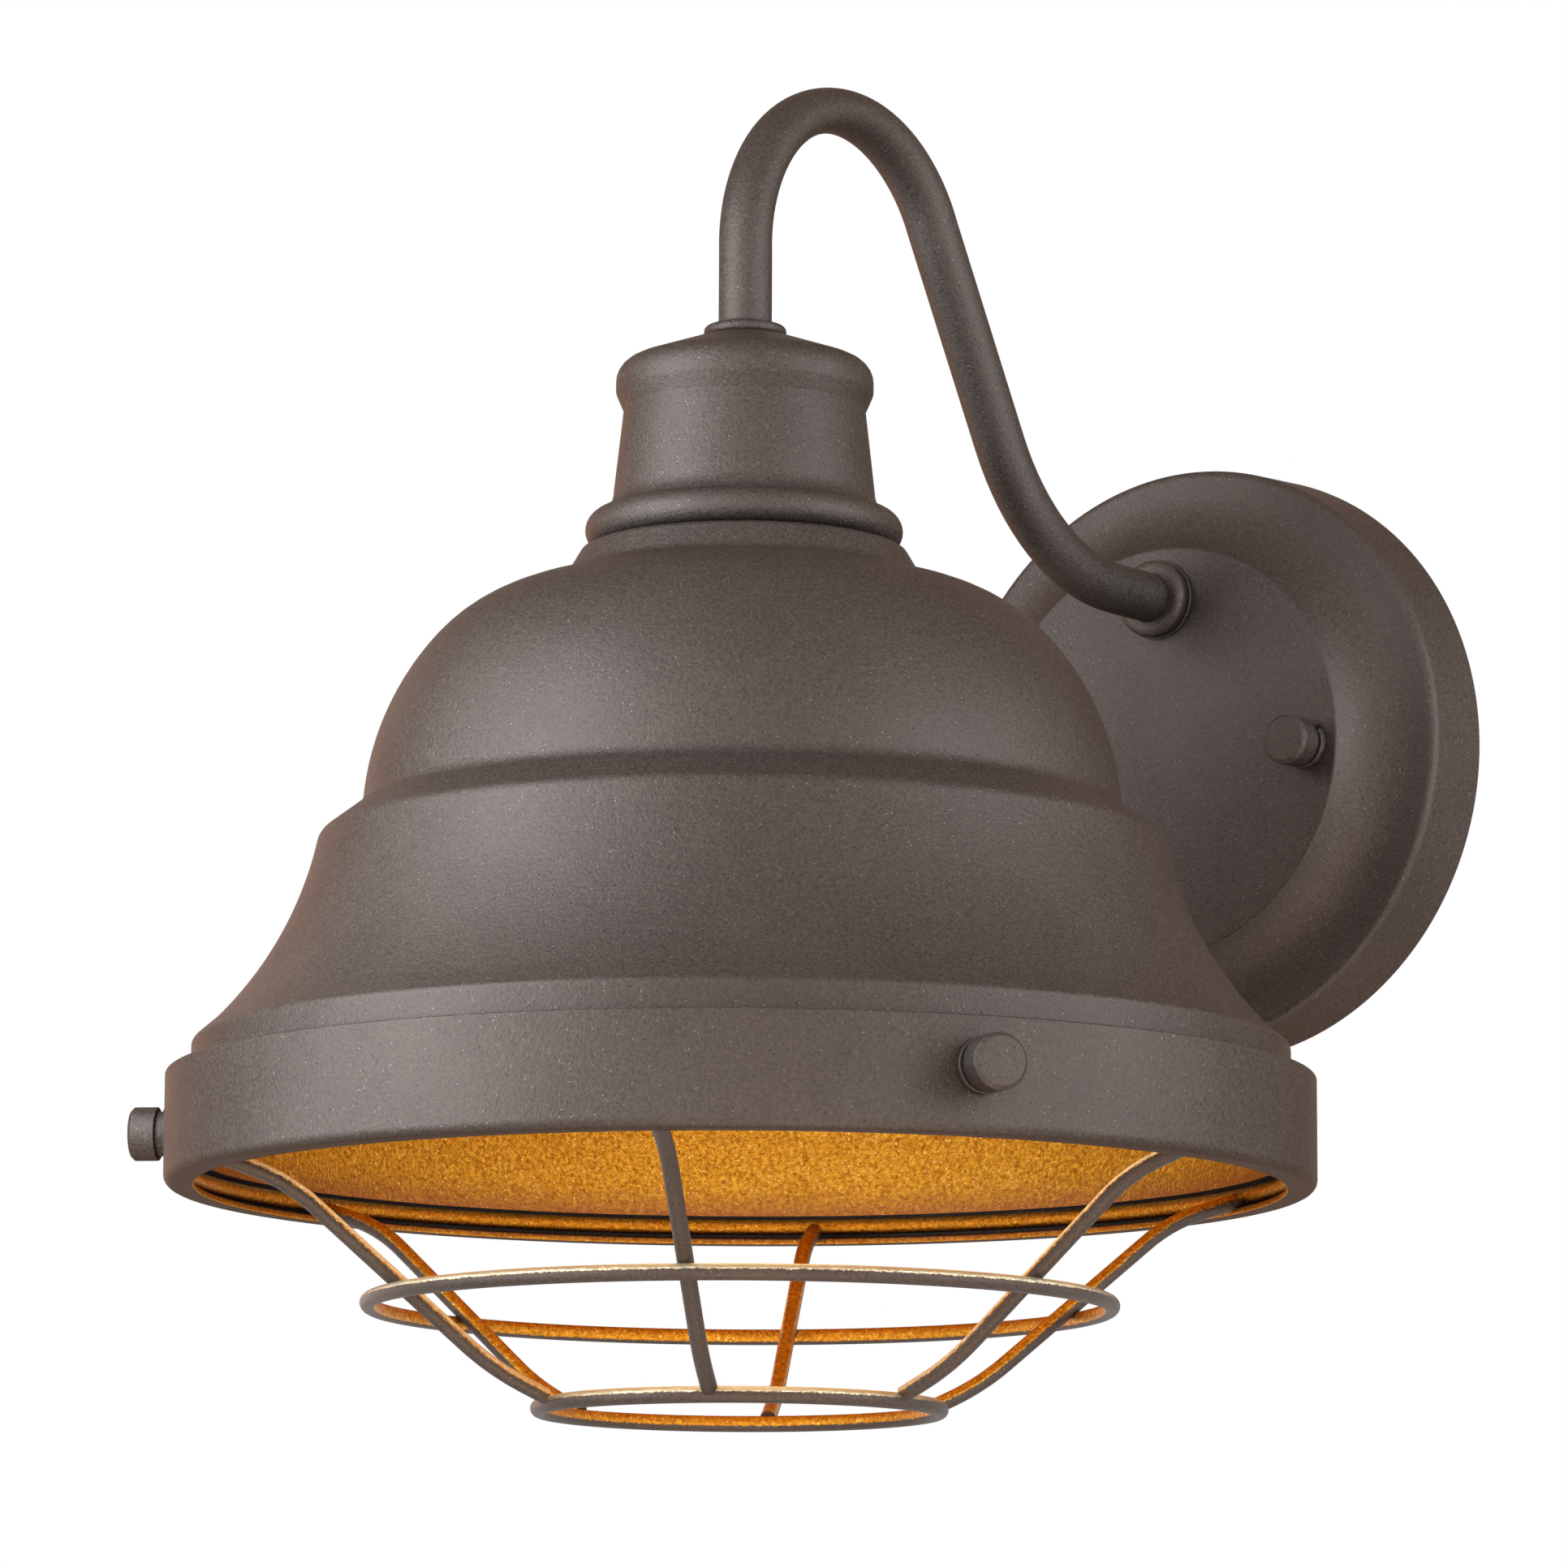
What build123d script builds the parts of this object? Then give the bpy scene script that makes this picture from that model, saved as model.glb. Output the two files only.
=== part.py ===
"""Outdoor wall sconce: gooseneck arm, domed shade and a wire cage on a drop-off rim band.

Millimetres. The wall is the plane Y = 0 and the light stands out along -Y. The origin is the
centre of the wall plate on the wall, +Z is up and +X is to the right as seen from the front.
Heights of the shade, neck cap, lamp holder and cage are above the underside of the rim band.
"""
from build123d import *
import math
import os

os.makedirs("parts", exist_ok=True)

# Clearances
thread_gap = 0.05  # screw or tube in its hole, on the radius
slip_gap = 0.3  # hole that a stud, screw or holder passes through freely
seat_gap = 0.05  # curved pieces that lie against each other

# Wall plate
plate_radius = 69.1
plate_draft = 0.9  # how much the rim narrows towards the front
plate_edge_depth = 18.1
plate_edge_round = 1.8
plate_ledge = 4.7  # flat ring inside the front edge
plate_face_radius = 48.2
plate_face_rise = 10.4  # the raised face, in front of the ledge
plate_face_round = 0.8
plate_wall = 1.2

# Gasket inside the plate's rim
gasket_width = 5.0
gasket_thickness = 3.0

# Strap, bar, studs and ground screw behind the plate
strap_width = 20.0
strap_thickness = 1.6
strap_corner = 3.0
strap_end = 9.5  # metal past the outermost box screw
box_screw_near = 69.85  # the two standard screw spacings of outlet boxes
box_screw_far = 88.9
box_slot_width = 4.8
bar_thickness = 1.6
bar_end = 14.0  # metal past each stud
rivet_radius = 5.2
rivet_flange_width = 2.8
rivet_flange = 1.0
stud_inset = 8.2  # from the edge of the raised face to a stud
stud_drop = 1.75  # studs below the middle of the bar
stud_radius = 2.05
stud_head_radius = 3.8
stud_head = 1.4
stud_grip = 4.0  # how far a stud reaches into its nut
stud_nut_flats = 8.7
stud_nut_height = 3.2
ground_screw_place = 22.0
ground_screw_radius = 2.1
ground_head_radius = 4.2
ground_head = 2.8

# Plate nuts and thumb screws share one turned head and one thick washer
head_radius = 5.75
head_length = 5.9
head_chamfer = 0.8
neck_radius = 4.8
neck_length = 1.4
washer_radius = 5.75
washer_thickness = 2.2
nut_closed_end = 1.2

# Arm
arm_inset = 12.2  # from the edge of the plate's raised face down to the arm's foot
tube_radius = 5.75
tube_wall = 0.7
foot_straight = 18.4
climb_radius = 53.4
climb_angle = 59.4  # slope of the straight run above the horizontal
arm_straight = 52.1
arch_radius = 37.5
arm_leg = 19.5  # from the arch straight down to the neck cap
nipple_wall = 1.3
nipple_in_tube = 12.0
nipple_past_nut = 3.5
lock_nut_wall = 2.5  # nipple to a flat of its lock nut
lock_nut_height = 4.0
lock_washer_width = 3.5
lock_washer = 1.0
foot_washer_edge = 0.3  # rim of the foot washer that shows round the collar
foot_washer_height = 0.8
collar_width = 3.25
collar_length = 3.8
collar_round = 1.9
collar_back_round = 1.2

# Leads and wire connectors
lead_radius = 1.1
lead_gap = 0.2  # lead to the nipple's bore
lead_bend = 4.0
lead_tuck = 0.8  # how far a lead's bend reaches into the nipple
lead_grip = 3.5  # how far a lead reaches into its terminal
connector_length = 15.0
connector_radius = 3.4
connector_tip_radius = 2.6
connector_bore = 8.0
connector_grip = 6.0  # how far a lead reaches into its connector
connector_drop = 9.0  # from the arm's foot down to the connector's mouth
connector_gap = 0.6

# Shade
shade_wall = 1.0
shade_lip_radius = 116.3
shade_lip_bottom = 6.4
shade_lip_height = 23.6
shade_lip_round = 1.6
slope_width = 4.4
slope_rise = 3.8
flare_rise = 40.8
flare_radius = 80.0
shoulder_round = 3.2
groove_width = 9.3
groove_rise = 7.0
groove_round = 4.0
dome_side_width = 14.8
dome_side_rise = 35.8
dome_radius = 59.4
dome_crown_width = 16.1
dome_crown_rise = 10.7
dome_top_width = 11.6
dome_top_rise = 3.4
step_foot_round = 4.0
step_height = 6.5
step_taper = 3.8
step_ledge = 0.5  # top of the step that shows outside the neck cap's bead
step_round = 2.0

# Neck cap
cap_wall = 1.2
cap_seat_width = 2.4
cap_bead_ring = 30.05
cap_bead_radius = 4.05
cap_flare_rise = 4.5
cap_flare_radius = 6.0
cap_flare_width = 2.0
cap_side_taper = 2.0
cap_waist_round = 0.8
cap_shoulder_width = 1.7
cap_shoulder_flare = 4.0
cap_shoulder_side = 5.8
cap_shoulder_low_round = 3.0
cap_shoulder_round = 5.0
cap_crown = 6.4
cap_top_width = 0.7  # flat of the cap's top round its washer
cap_washer_width = 3.15
cap_washer_height = 2.6
cap_washer_round = 1.2

# Lamp holder
holder_radius = 19.8
holder_below_shade = 6.5
holder_length = 26.5
holder_spigot = 5.0
holder_cavity = 23.5
holder_cap_length = 12.0
holder_cap_wall = 1.6
hub_wall = 3.0
hub_length = 8.0
hub_gap = 1.4
shell_bore = 13.4  # radius inside the screw shell
shell_wall = 0.5
shell_length = 18.0
shell_top_gap = 2.0  # shell to the top of the holder's cavity, past the centre contact
contact_radius = 4.0
contact_height = 1.6
terminal_width = 6.5
terminal_depth = 6.0
terminal_height = 4.5
terminal_rim = 0.25  # metal between a lead and the gap between the terminals
shade_ring_width = 7.2
shade_ring_height = 4.0
shade_ring_notches = 12
shade_ring_notch = 1.5

# Rim band
band_gap = 4.2  # round the shade's lip
band_wall = 1.2
band_height = 23.6
band_lip_width = 5.2
band_lip = 1.3
band_bottom_round = 2.0
band_top_round = 0.5

# Thumb screws, at equal turns round the band
thumb_count = 3
thumb_first_angle = 59.6  # from the front, towards +X
thumb_lift = 1.6  # above the middle of the band
thumb_radius = 2.0
thumb_tip_gap = 0.3  # loosened screw tip to the shade's lip
weld_nut_flats = 7.0
weld_nut_height = 2.4
weld_nut_gap = 0.1

# Cage of round wire: the drop is below the underside of the rim band
wire_radius = 1.75
seat_ring_lift = 1.2  # seat ring's wire above the band's lip
middle_ring_radius = 78.4
bottom_ring_radius = 42.3
bottom_ring_drop = 46.0
rib_count = 6
rib_first_angle = 28.5
rib_weld_sink = 0.4  # how far a rib is pressed into the middle ring
rib_top_tuck = (1.6, 1.1)  # rib end inwards of and below the seat ring's middle
rib_foot_tuck = (0.9, 1.3)  # rib end outwards of and above the bottom ring's middle
rib_top_run = 16.5  # rib's end to its bend, along the radius
rib_top_slope = 17.4
rib_top_bend = 40.0
rib_foot_run = 12.2
rib_foot_slope = 24.9
rib_foot_bend = 60.0

# Where the arm leads: the shade hangs where the arm ends
climb = math.radians(climb_angle)
arm_rise = plate_face_radius - arm_inset  # plate centre up to the arm's foot
plate_face_depth = plate_edge_depth + plate_face_rise
foot_depth = plate_face_depth + foot_washer_height
climb_start = foot_depth + foot_straight
arch_run = (climb_radius + arch_radius) * math.sin(climb) + arch_radius
arm_reach = climb_start + arch_run + arm_straight * math.cos(climb)
climb_rise = climb_radius * (1 - math.cos(climb)) + arm_straight * math.sin(climb)
arch_end = arm_rise + climb_rise - arch_radius * math.cos(climb)
cap_top = arch_end - arm_leg

# Heights of the shade from its lip upwards, then of the stack between the shade and the arm
shade_lip_top = shade_lip_bottom + shade_lip_height
slope_top = shade_lip_top + slope_rise
shoulder_height = slope_top + flare_rise
groove_height = shoulder_height + groove_rise
dome_join_height = groove_height + dome_side_rise
dome_top_height = dome_join_height + dome_crown_rise
step_foot_height = dome_top_height + dome_top_rise
step_top = step_foot_height + step_height
holder_bottom = step_top - holder_below_shade
holder_joint = holder_bottom + holder_length
holder_cap_top = holder_joint + holder_cap_length
hub_top = holder_cap_top + hub_length
cap_nut_base = hub_top + hub_gap
cap_inner_top = cap_nut_base + lock_nut_height
cap_top_height = cap_inner_top + cap_wall
lip_drop = cap_top_height - cap_top  # plate centre down to the underside of the rim band


def save(piece, name):
    """Label one finished piece and write it."""
    piece.part.label = name
    export_step(piece.part, f"parts/{name}.step")


def wall_plane(depth, x=0.0, z=0.0):
    """A plane parallel to the wall, depth in front of it, that faces the room."""
    return Plane(origin=(x, -depth, z), x_dir=(1, 0, 0), z_dir=(0, -1, 0))


def shade_level(height):
    """A level plane on the shade's axis."""
    return Plane(origin=(0, -arm_reach, height - lip_drop))


def radial_plane(angle):
    """An upright plane through the shade's axis: local x runs outwards and local y up."""
    turn = math.radians(angle)
    return Plane(
        origin=(0, -arm_reach, -lip_drop),
        x_dir=(math.sin(turn), -math.cos(turn), 0),
        z_dir=(-math.cos(turn), -math.sin(turn), 0),
    )


def outward_plane(angle, height, distance):
    """A plane square to a radius of the shade, at a distance from its axis, facing outwards."""
    turn = math.radians(angle)
    out = (math.sin(turn), -math.cos(turn), 0)
    place = (distance * out[0], distance * out[1] - arm_reach, height - lip_drop)
    return Plane(origin=place, x_dir=(0, 0, 1), z_dir=out)


shade_axis = Axis((0, -arm_reach, -lip_drop), (0, 0, 1))
shade_section = radial_plane(90)

# Wall plate: a spun dish whose raised face is joined to the rim by a hollow cove
plate_front_radius = plate_radius - plate_draft
cove_start = plate_front_radius - plate_ledge
cove_span = cove_start - plate_face_radius
cove_radius = (cove_span**2 + plate_face_rise**2) / (2 * plate_face_rise)
cove_centre = (cove_start, -(plate_edge_depth + cove_radius))
cove_end = math.degrees(math.atan2(cove_radius - plate_face_rise, -cove_span)) % 360
inner_cove_radius = cove_radius + plate_wall
inner_face_depth = plate_face_depth - plate_wall
inner_edge_depth = plate_edge_depth - plate_wall
inner_cove_sine = (cove_radius - plate_face_rise + plate_wall) / inner_cove_radius
inner_cove_end = 180 - math.degrees(math.asin(inner_cove_sine))
inner_face_radius = cove_start + inner_cove_radius * math.cos(math.radians(inner_cove_end))
nipple_radius = tube_radius - tube_wall - thread_gap
nipple_bore = nipple_radius - nipple_wall
nipple_hole = nipple_radius + thread_gap
stud_place = plate_face_radius - stud_inset
stud_places = [(-stud_place, -stud_drop), (stud_place, -stud_drop)]

with BuildPart() as wall_plate:
    with BuildSketch(Plane.XY) as plate_section:
        with BuildLine():
            Polyline(
                (cove_start, -inner_edge_depth),
                (plate_front_radius - plate_wall, -inner_edge_depth),
                (plate_radius - plate_wall, 0),
                (plate_radius, 0),
                (plate_front_radius, -plate_edge_depth),
                (cove_start, -plate_edge_depth),
            )
            CenterArc(cove_centre, cove_radius, 90, cove_end - 90)
            Polyline(
                (plate_face_radius, -plate_face_depth),
                (0, -plate_face_depth),
                (0, -inner_face_depth),
                (inner_face_radius, -inner_face_depth),
            )
            CenterArc(cove_centre, inner_cove_radius, 90, inner_cove_end - 90)
        make_face()
        front_corner = (plate_front_radius, -plate_edge_depth)
        fillet(plate_section.vertices().sort_by_distance(front_corner)[0], plate_edge_round)
        face_corner = (plate_face_radius, -plate_face_depth)
        fillet(plate_section.vertices().sort_by_distance(face_corner)[0], plate_face_round)
    revolve(axis=Axis.Y)
    with BuildSketch(wall_plane(inner_face_depth)):
        with Locations((0, arm_rise)):
            Circle(nipple_hole)
        with Locations(*stud_places):
            Circle(stud_radius + slip_gap)
    extrude(amount=plate_wall, mode=Mode.SUBTRACT)
save(wall_plate, "wall_plate")

# Foam gasket that seals the rim to the wall
rim_taper = plate_draft / plate_edge_depth
gasket_radius = plate_radius - plate_wall - rim_taper * gasket_thickness - seat_gap
with BuildPart() as wall_gasket:
    with BuildSketch(wall_plane(0)):
        Circle(gasket_radius)
        Circle(gasket_radius - gasket_width, mode=Mode.SUBTRACT)
    extrude(amount=gasket_thickness)
save(wall_gasket, "wall_gasket")

# Box strap: upright, with a slot at each end for the outlet box's screws
box_slot_place = (box_screw_near + box_screw_far) / 4
box_slot_length = (box_screw_far - box_screw_near) / 2 + box_slot_width
with BuildPart() as box_strap:
    with BuildSketch(wall_plane(0)):
        RectangleRounded(strap_width, box_screw_far + 2 * strap_end, strap_corner)
        Circle(rivet_radius + thread_gap, mode=Mode.SUBTRACT)
        with Locations((0, -box_slot_place), (0, box_slot_place)):
            SlotOverall(box_slot_length, box_slot_width, rotation=90, mode=Mode.SUBTRACT)
    extrude(amount=strap_thickness)
save(box_strap, "box_strap")

# Stud bar: level, in front of the strap, with a stud near each end
bar_front = strap_thickness + bar_thickness
with BuildPart() as stud_bar:
    with BuildSketch(wall_plane(strap_thickness)):
        RectangleRounded(2 * (stud_place + bar_end), strap_width, strap_corner)
        Circle(rivet_radius + thread_gap, mode=Mode.SUBTRACT)
        with Locations(*stud_places):
            Circle(stud_radius + thread_gap, mode=Mode.SUBTRACT)
        with Locations((ground_screw_place, 0)):
            Circle(ground_screw_radius + thread_gap, mode=Mode.SUBTRACT)
    extrude(amount=bar_thickness)
save(stud_bar, "stud_bar")

# Rivet through the middle of strap and bar
with BuildPart() as bar_rivet:
    with BuildSketch(wall_plane(0)):
        Circle(rivet_radius)
    extrude(amount=bar_front)
    with BuildSketch(wall_plane(bar_front)):
        Circle(rivet_radius + rivet_flange_width)
    extrude(amount=rivet_flange)
save(bar_rivet, "bar_rivet")

# Ground screw on the bar
with BuildPart() as ground_screw:
    with BuildSketch(wall_plane(strap_thickness, ground_screw_place)):
        Circle(ground_screw_radius)
    extrude(amount=bar_thickness)
    with BuildSketch(wall_plane(bar_front, ground_screw_place)):
        RegularPolygon(ground_head_radius, 6)
    extrude(amount=ground_head)
save(ground_screw, "ground_screw")

# Studs with their heads behind the bar, and the nuts that lock them
nut_base = plate_face_depth + washer_thickness
with BuildPart() as plate_studs:
    with BuildSketch(wall_plane(strap_thickness - stud_head)):
        with Locations(*stud_places):
            Circle(stud_head_radius)
    extrude(amount=stud_head)
    with BuildSketch(wall_plane(strap_thickness)):
        with Locations(*stud_places):
            Circle(stud_radius)
    extrude(amount=nut_base + stud_grip - strap_thickness)
save(plate_studs, "plate_studs")

with BuildPart() as stud_nuts:
    with BuildSketch(wall_plane(bar_front)):
        with Locations(*stud_places):
            RegularPolygon(stud_nut_flats / 2, 6, major_radius=False)
            Circle(stud_radius + thread_gap, mode=Mode.SUBTRACT)
    extrude(amount=stud_nut_height)
save(stud_nuts, "stud_nuts")


def turned_washer(plane, bore):
    """The thick washer under a plate nut or a thumb screw's head."""
    with BuildPart() as washer:
        with BuildSketch(plane):
            Circle(washer_radius)
            Circle(bore, mode=Mode.SUBTRACT)
        extrude(amount=washer_thickness)
    return washer


# Plate nuts: closed nuts that draw the plate to the wall
for side, (stud_x, stud_z) in zip(("left", "right"), stud_places):
    nut_washer = turned_washer(wall_plane(plate_face_depth, stud_x, stud_z), stud_radius + thread_gap)
    save(nut_washer, f"nut_washer_{side}")
    with BuildPart() as plate_nut:
        with BuildSketch(wall_plane(nut_base, stud_x, stud_z)):
            Circle(neck_radius)
        extrude(amount=neck_length)
        with BuildSketch(wall_plane(nut_base + neck_length, stud_x, stud_z)):
            Circle(head_radius)
        extrude(amount=head_length)
        chamfer(plate_nut.faces().sort_by(Axis.Y)[0].edges(), head_chamfer)
        with BuildSketch(wall_plane(nut_base, stud_x, stud_z)):
            Circle(stud_radius + thread_gap)
        extrude(amount=neck_length + head_length - nut_closed_end, mode=Mode.SUBTRACT)
    save(plate_nut, f"plate_nut_{side}")


def arm_route(foot, end):
    """Draw the arm's middle line in its own plane, from a depth at the foot to a height at the end."""
    start = Line((-foot, arm_rise), (-climb_start, arm_rise))
    rise = JernArc(start @ 1, start % 1, climb_radius, -climb_angle)
    run = Line(rise @ 1, rise @ 1 + (rise % 1) * arm_straight)
    arch = JernArc(run @ 1, run % 1, arch_radius, climb_angle + 90)
    Line(arch @ 1, (-arm_reach, end))


# Gooseneck arm: one bent tube from the plate to the neck cap
with BuildPart() as arm_tube:
    with BuildLine(Plane.YZ) as arm_line:
        arm_route(foot_depth, cap_top)
    with BuildSketch(wall_plane(foot_depth, 0, arm_rise)):
        Circle(tube_radius)
        Circle(tube_radius - tube_wall, mode=Mode.SUBTRACT)
    sweep(path=arm_line.wires()[0])
save(arm_tube, "arm_tube")

# Threaded nipple in the arm's foot, with its lock washer and nut behind the plate
foot_nut_base = inner_face_depth - lock_washer - lock_nut_height
foot_nipple_end = foot_nut_base - nipple_past_nut
with BuildPart() as foot_nipple:
    with BuildSketch(wall_plane(foot_nipple_end, 0, arm_rise)):
        Circle(nipple_radius)
        Circle(nipple_bore, mode=Mode.SUBTRACT)
    extrude(amount=foot_depth + nipple_in_tube - foot_nipple_end)
save(foot_nipple, "foot_nipple")

with BuildPart() as foot_lock_washer:
    with BuildSketch(wall_plane(inner_face_depth - lock_washer, 0, arm_rise)):
        Circle(nipple_radius + lock_washer_width)
        Circle(nipple_hole, mode=Mode.SUBTRACT)
    extrude(amount=lock_washer)
save(foot_lock_washer, "foot_lock_washer")

with BuildPart() as foot_lock_nut:
    with BuildSketch(wall_plane(foot_nut_base, 0, arm_rise)):
        RegularPolygon(nipple_radius + lock_nut_wall, 6, major_radius=False)
        Circle(nipple_hole, mode=Mode.SUBTRACT)
    extrude(amount=lock_nut_height)
save(foot_lock_nut, "foot_lock_nut")

# Thin washer and rounded collar round the arm's foot
collar_radius = tube_radius + collar_width
with BuildPart() as foot_washer:
    with BuildSketch(wall_plane(plate_face_depth, 0, arm_rise)):
        Circle(collar_radius + foot_washer_edge)
        Circle(nipple_hole, mode=Mode.SUBTRACT)
    extrude(amount=foot_washer_height)
save(foot_washer, "foot_washer")

with BuildPart() as foot_collar:
    with BuildSketch(wall_plane(foot_depth, 0, arm_rise)):
        Circle(collar_radius)
        Circle(tube_radius + thread_gap, mode=Mode.SUBTRACT)
    extrude(amount=collar_length)
    collar_edges = foot_collar.edges().filter_by(GeomType.CIRCLE).group_by(SortBy.RADIUS)[-1]
    fillet(collar_edges.sort_by(Axis.Y)[0], collar_round)
    collar_edges = foot_collar.faces().sort_by(Axis.Y)[-1].edges()
    fillet(collar_edges.sort_by(SortBy.RADIUS)[-1], collar_back_round)
save(foot_collar, "foot_collar")

# Leads through the arm, from the lamp holder's terminals to the connectors behind the plate
lead_offset = nipple_bore - lead_radius - lead_gap
line_depth = foot_nipple_end - lead_bend + lead_tuck
neutral_depth = line_depth - 2 * connector_radius - connector_gap
connector_mouth = arm_rise - connector_drop
terminal_base = holder_joint + holder_spigot
lead_end = terminal_base + terminal_height - lead_grip - lip_drop
for name, lead_x, depth in (("line", -lead_offset, line_depth), ("neutral", lead_offset, neutral_depth)):
    with BuildPart() as lead:
        with BuildLine(Plane.YZ.offset(lead_x)) as lead_line:
            tail = Line((-depth, connector_mouth - connector_grip), (-depth, arm_rise - lead_bend))
            JernArc(tail @ 1, tail % 1, lead_bend, 90)
            arm_route(depth + lead_bend, lead_end)
        with BuildSketch(Plane(origin=(lead_x, -depth, connector_mouth - connector_grip))):
            Circle(lead_radius)
        sweep(path=lead_line.wires()[0])
    save(lead, f"{name}_lead")
    mouth_plane = Plane(origin=(lead_x, -depth, connector_mouth))
    with BuildPart() as connector:
        with BuildSketch(mouth_plane):
            Circle(connector_radius)
        with BuildSketch(mouth_plane.offset(-connector_length)):
            Circle(connector_tip_radius)
        loft()
        with BuildSketch(mouth_plane):
            Circle(lead_radius + thread_gap)
        extrude(amount=-connector_bore, mode=Mode.SUBTRACT)
    save(connector, f"{name}_connector")

# Rounded washer where the arm meets the neck cap
cap_washer_radius = tube_radius + cap_washer_width
with BuildPart() as cap_washer:
    with BuildSketch(shade_level(cap_top_height)):
        Circle(cap_washer_radius)
        Circle(tube_radius + thread_gap, mode=Mode.SUBTRACT)
    extrude(amount=cap_washer_height)
    washer_edges = cap_washer.edges().filter_by(GeomType.CIRCLE).group_by(SortBy.RADIUS)[-1]
    fillet(washer_edges, cap_washer_round)
save(cap_washer, "cap_washer")

# Neck cap: spun bell with a rolled bead at its foot
bead_top = step_top + 2 * cap_bead_radius
cap_foot_height = bead_top + cap_flare_rise
cap_shoulder_height = cap_top_height - cap_crown
cap_side_height = cap_shoulder_height - cap_shoulder_side
cap_waist_height = cap_side_height - cap_shoulder_flare
cap_foot_radius = cap_bead_ring - cap_flare_width
cap_waist_radius = cap_foot_radius - cap_side_taper
cap_shoulder_radius = cap_waist_radius + cap_shoulder_width
cap_top_radius = cap_washer_radius + cap_top_width
crown_slope = cap_crown / (cap_shoulder_radius - cap_top_radius)
cap_inside_radius = cap_waist_radius - cap_wall
cap_inside_shoulder = cap_inner_top - crown_slope * (cap_inside_radius - cap_top_radius)
cap_seat_radius = cap_bead_ring - cap_seat_width
with BuildPart() as neck_cap:
    with BuildSketch(shade_section) as cap_profile:
        with BuildLine():
            Line((cap_seat_radius, step_top), (cap_bead_ring, step_top))
            ThreePointArc(
                (cap_bead_ring, step_top),
                (cap_bead_ring + cap_bead_radius, step_top + cap_bead_radius),
                (cap_bead_ring, bead_top),
            )
            RadiusArc((cap_bead_ring, bead_top), (cap_foot_radius, cap_foot_height), cap_flare_radius)
            Polyline(
                (cap_foot_radius, cap_foot_height),
                (cap_waist_radius, cap_waist_height),
                (cap_shoulder_radius, cap_side_height),
                (cap_shoulder_radius, cap_shoulder_height),
                (cap_top_radius, cap_top_height),
                (nipple_hole, cap_top_height),
                (nipple_hole, cap_inner_top),
                (cap_top_radius, cap_inner_top),
                (cap_inside_radius, cap_inside_shoulder),
                (cap_inside_radius, cap_waist_height),
                (cap_foot_radius - cap_wall, cap_foot_height),
                (cap_seat_radius, bead_top),
                (cap_seat_radius, step_top),
            )
        make_face()
        for corner, size in (
            ((cap_waist_radius, cap_waist_height), cap_waist_round),
            ((cap_shoulder_radius, cap_side_height), cap_shoulder_low_round),
            ((cap_shoulder_radius, cap_shoulder_height), cap_shoulder_round),
        ):
            fillet(cap_profile.vertices().sort_by_distance(corner)[0], size)
    revolve(axis=shade_axis)
save(neck_cap, "neck_cap")

# Threaded nipple in the arm's end, and the nut that holds the neck cap up
cap_nipple_bottom = holder_cap_top - holder_cap_wall
with BuildPart() as cap_nipple:
    with BuildSketch(shade_level(cap_nipple_bottom)):
        Circle(nipple_radius)
        Circle(nipple_bore, mode=Mode.SUBTRACT)
    extrude(amount=cap_top_height + nipple_in_tube - cap_nipple_bottom)
save(cap_nipple, "cap_nipple")

with BuildPart() as cap_lock_nut:
    with BuildSketch(shade_level(cap_nut_base)):
        RegularPolygon(nipple_radius + lock_nut_wall, 6, major_radius=False)
        Circle(nipple_hole, mode=Mode.SUBTRACT)
    extrude(amount=lock_nut_height)
save(cap_lock_nut, "cap_lock_nut")

# Shade: stepped dome over a flared skirt, with a short upright lip
step_top_radius = cap_bead_ring + cap_bead_radius + step_ledge
step_foot_radius = step_top_radius + step_taper
dome_top_radius = step_foot_radius + dome_top_width
dome_join_radius = dome_top_radius + dome_crown_width
groove_radius = dome_join_radius + dome_side_width
shoulder_radius = groove_radius + groove_width
slope_top_radius = shade_lip_radius - slope_width
shade_hole = holder_radius + slip_gap
with BuildPart() as shade:
    with BuildSketch(shade_section):
        with BuildLine() as shade_line:
            Polyline(
                (shade_lip_radius, shade_lip_bottom),
                (shade_lip_radius, shade_lip_top),
                (slope_top_radius, slope_top),
            )
            RadiusArc((slope_top_radius, slope_top), (shoulder_radius, shoulder_height), flare_radius)
            Line((shoulder_radius, shoulder_height), (groove_radius, groove_height))
            side = RadiusArc(
                (groove_radius, groove_height), (dome_join_radius, dome_join_height), -dome_radius
            )
            TangentArc(side @ 1, (dome_top_radius, dome_top_height), tangent=side % 1)
            Polyline(
                (dome_top_radius, dome_top_height),
                (step_foot_radius, step_foot_height),
                (step_top_radius, step_top),
                (shade_hole, step_top),
            )
            for corner, size in (
                ((shade_lip_radius, shade_lip_top), shade_lip_round),
                ((shoulder_radius, shoulder_height), shoulder_round),
                ((groove_radius, groove_height), groove_round),
                ((step_foot_radius, step_foot_height), step_foot_round),
                ((step_top_radius, step_top), step_round),
            ):
                fillet(shade_line.vertices().sort_by_distance(corner)[0], size)
            offset(amount=shade_wall, side=Side.LEFT)
        make_face()
    revolve(axis=shade_axis)
save(shade, "shade")

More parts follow.
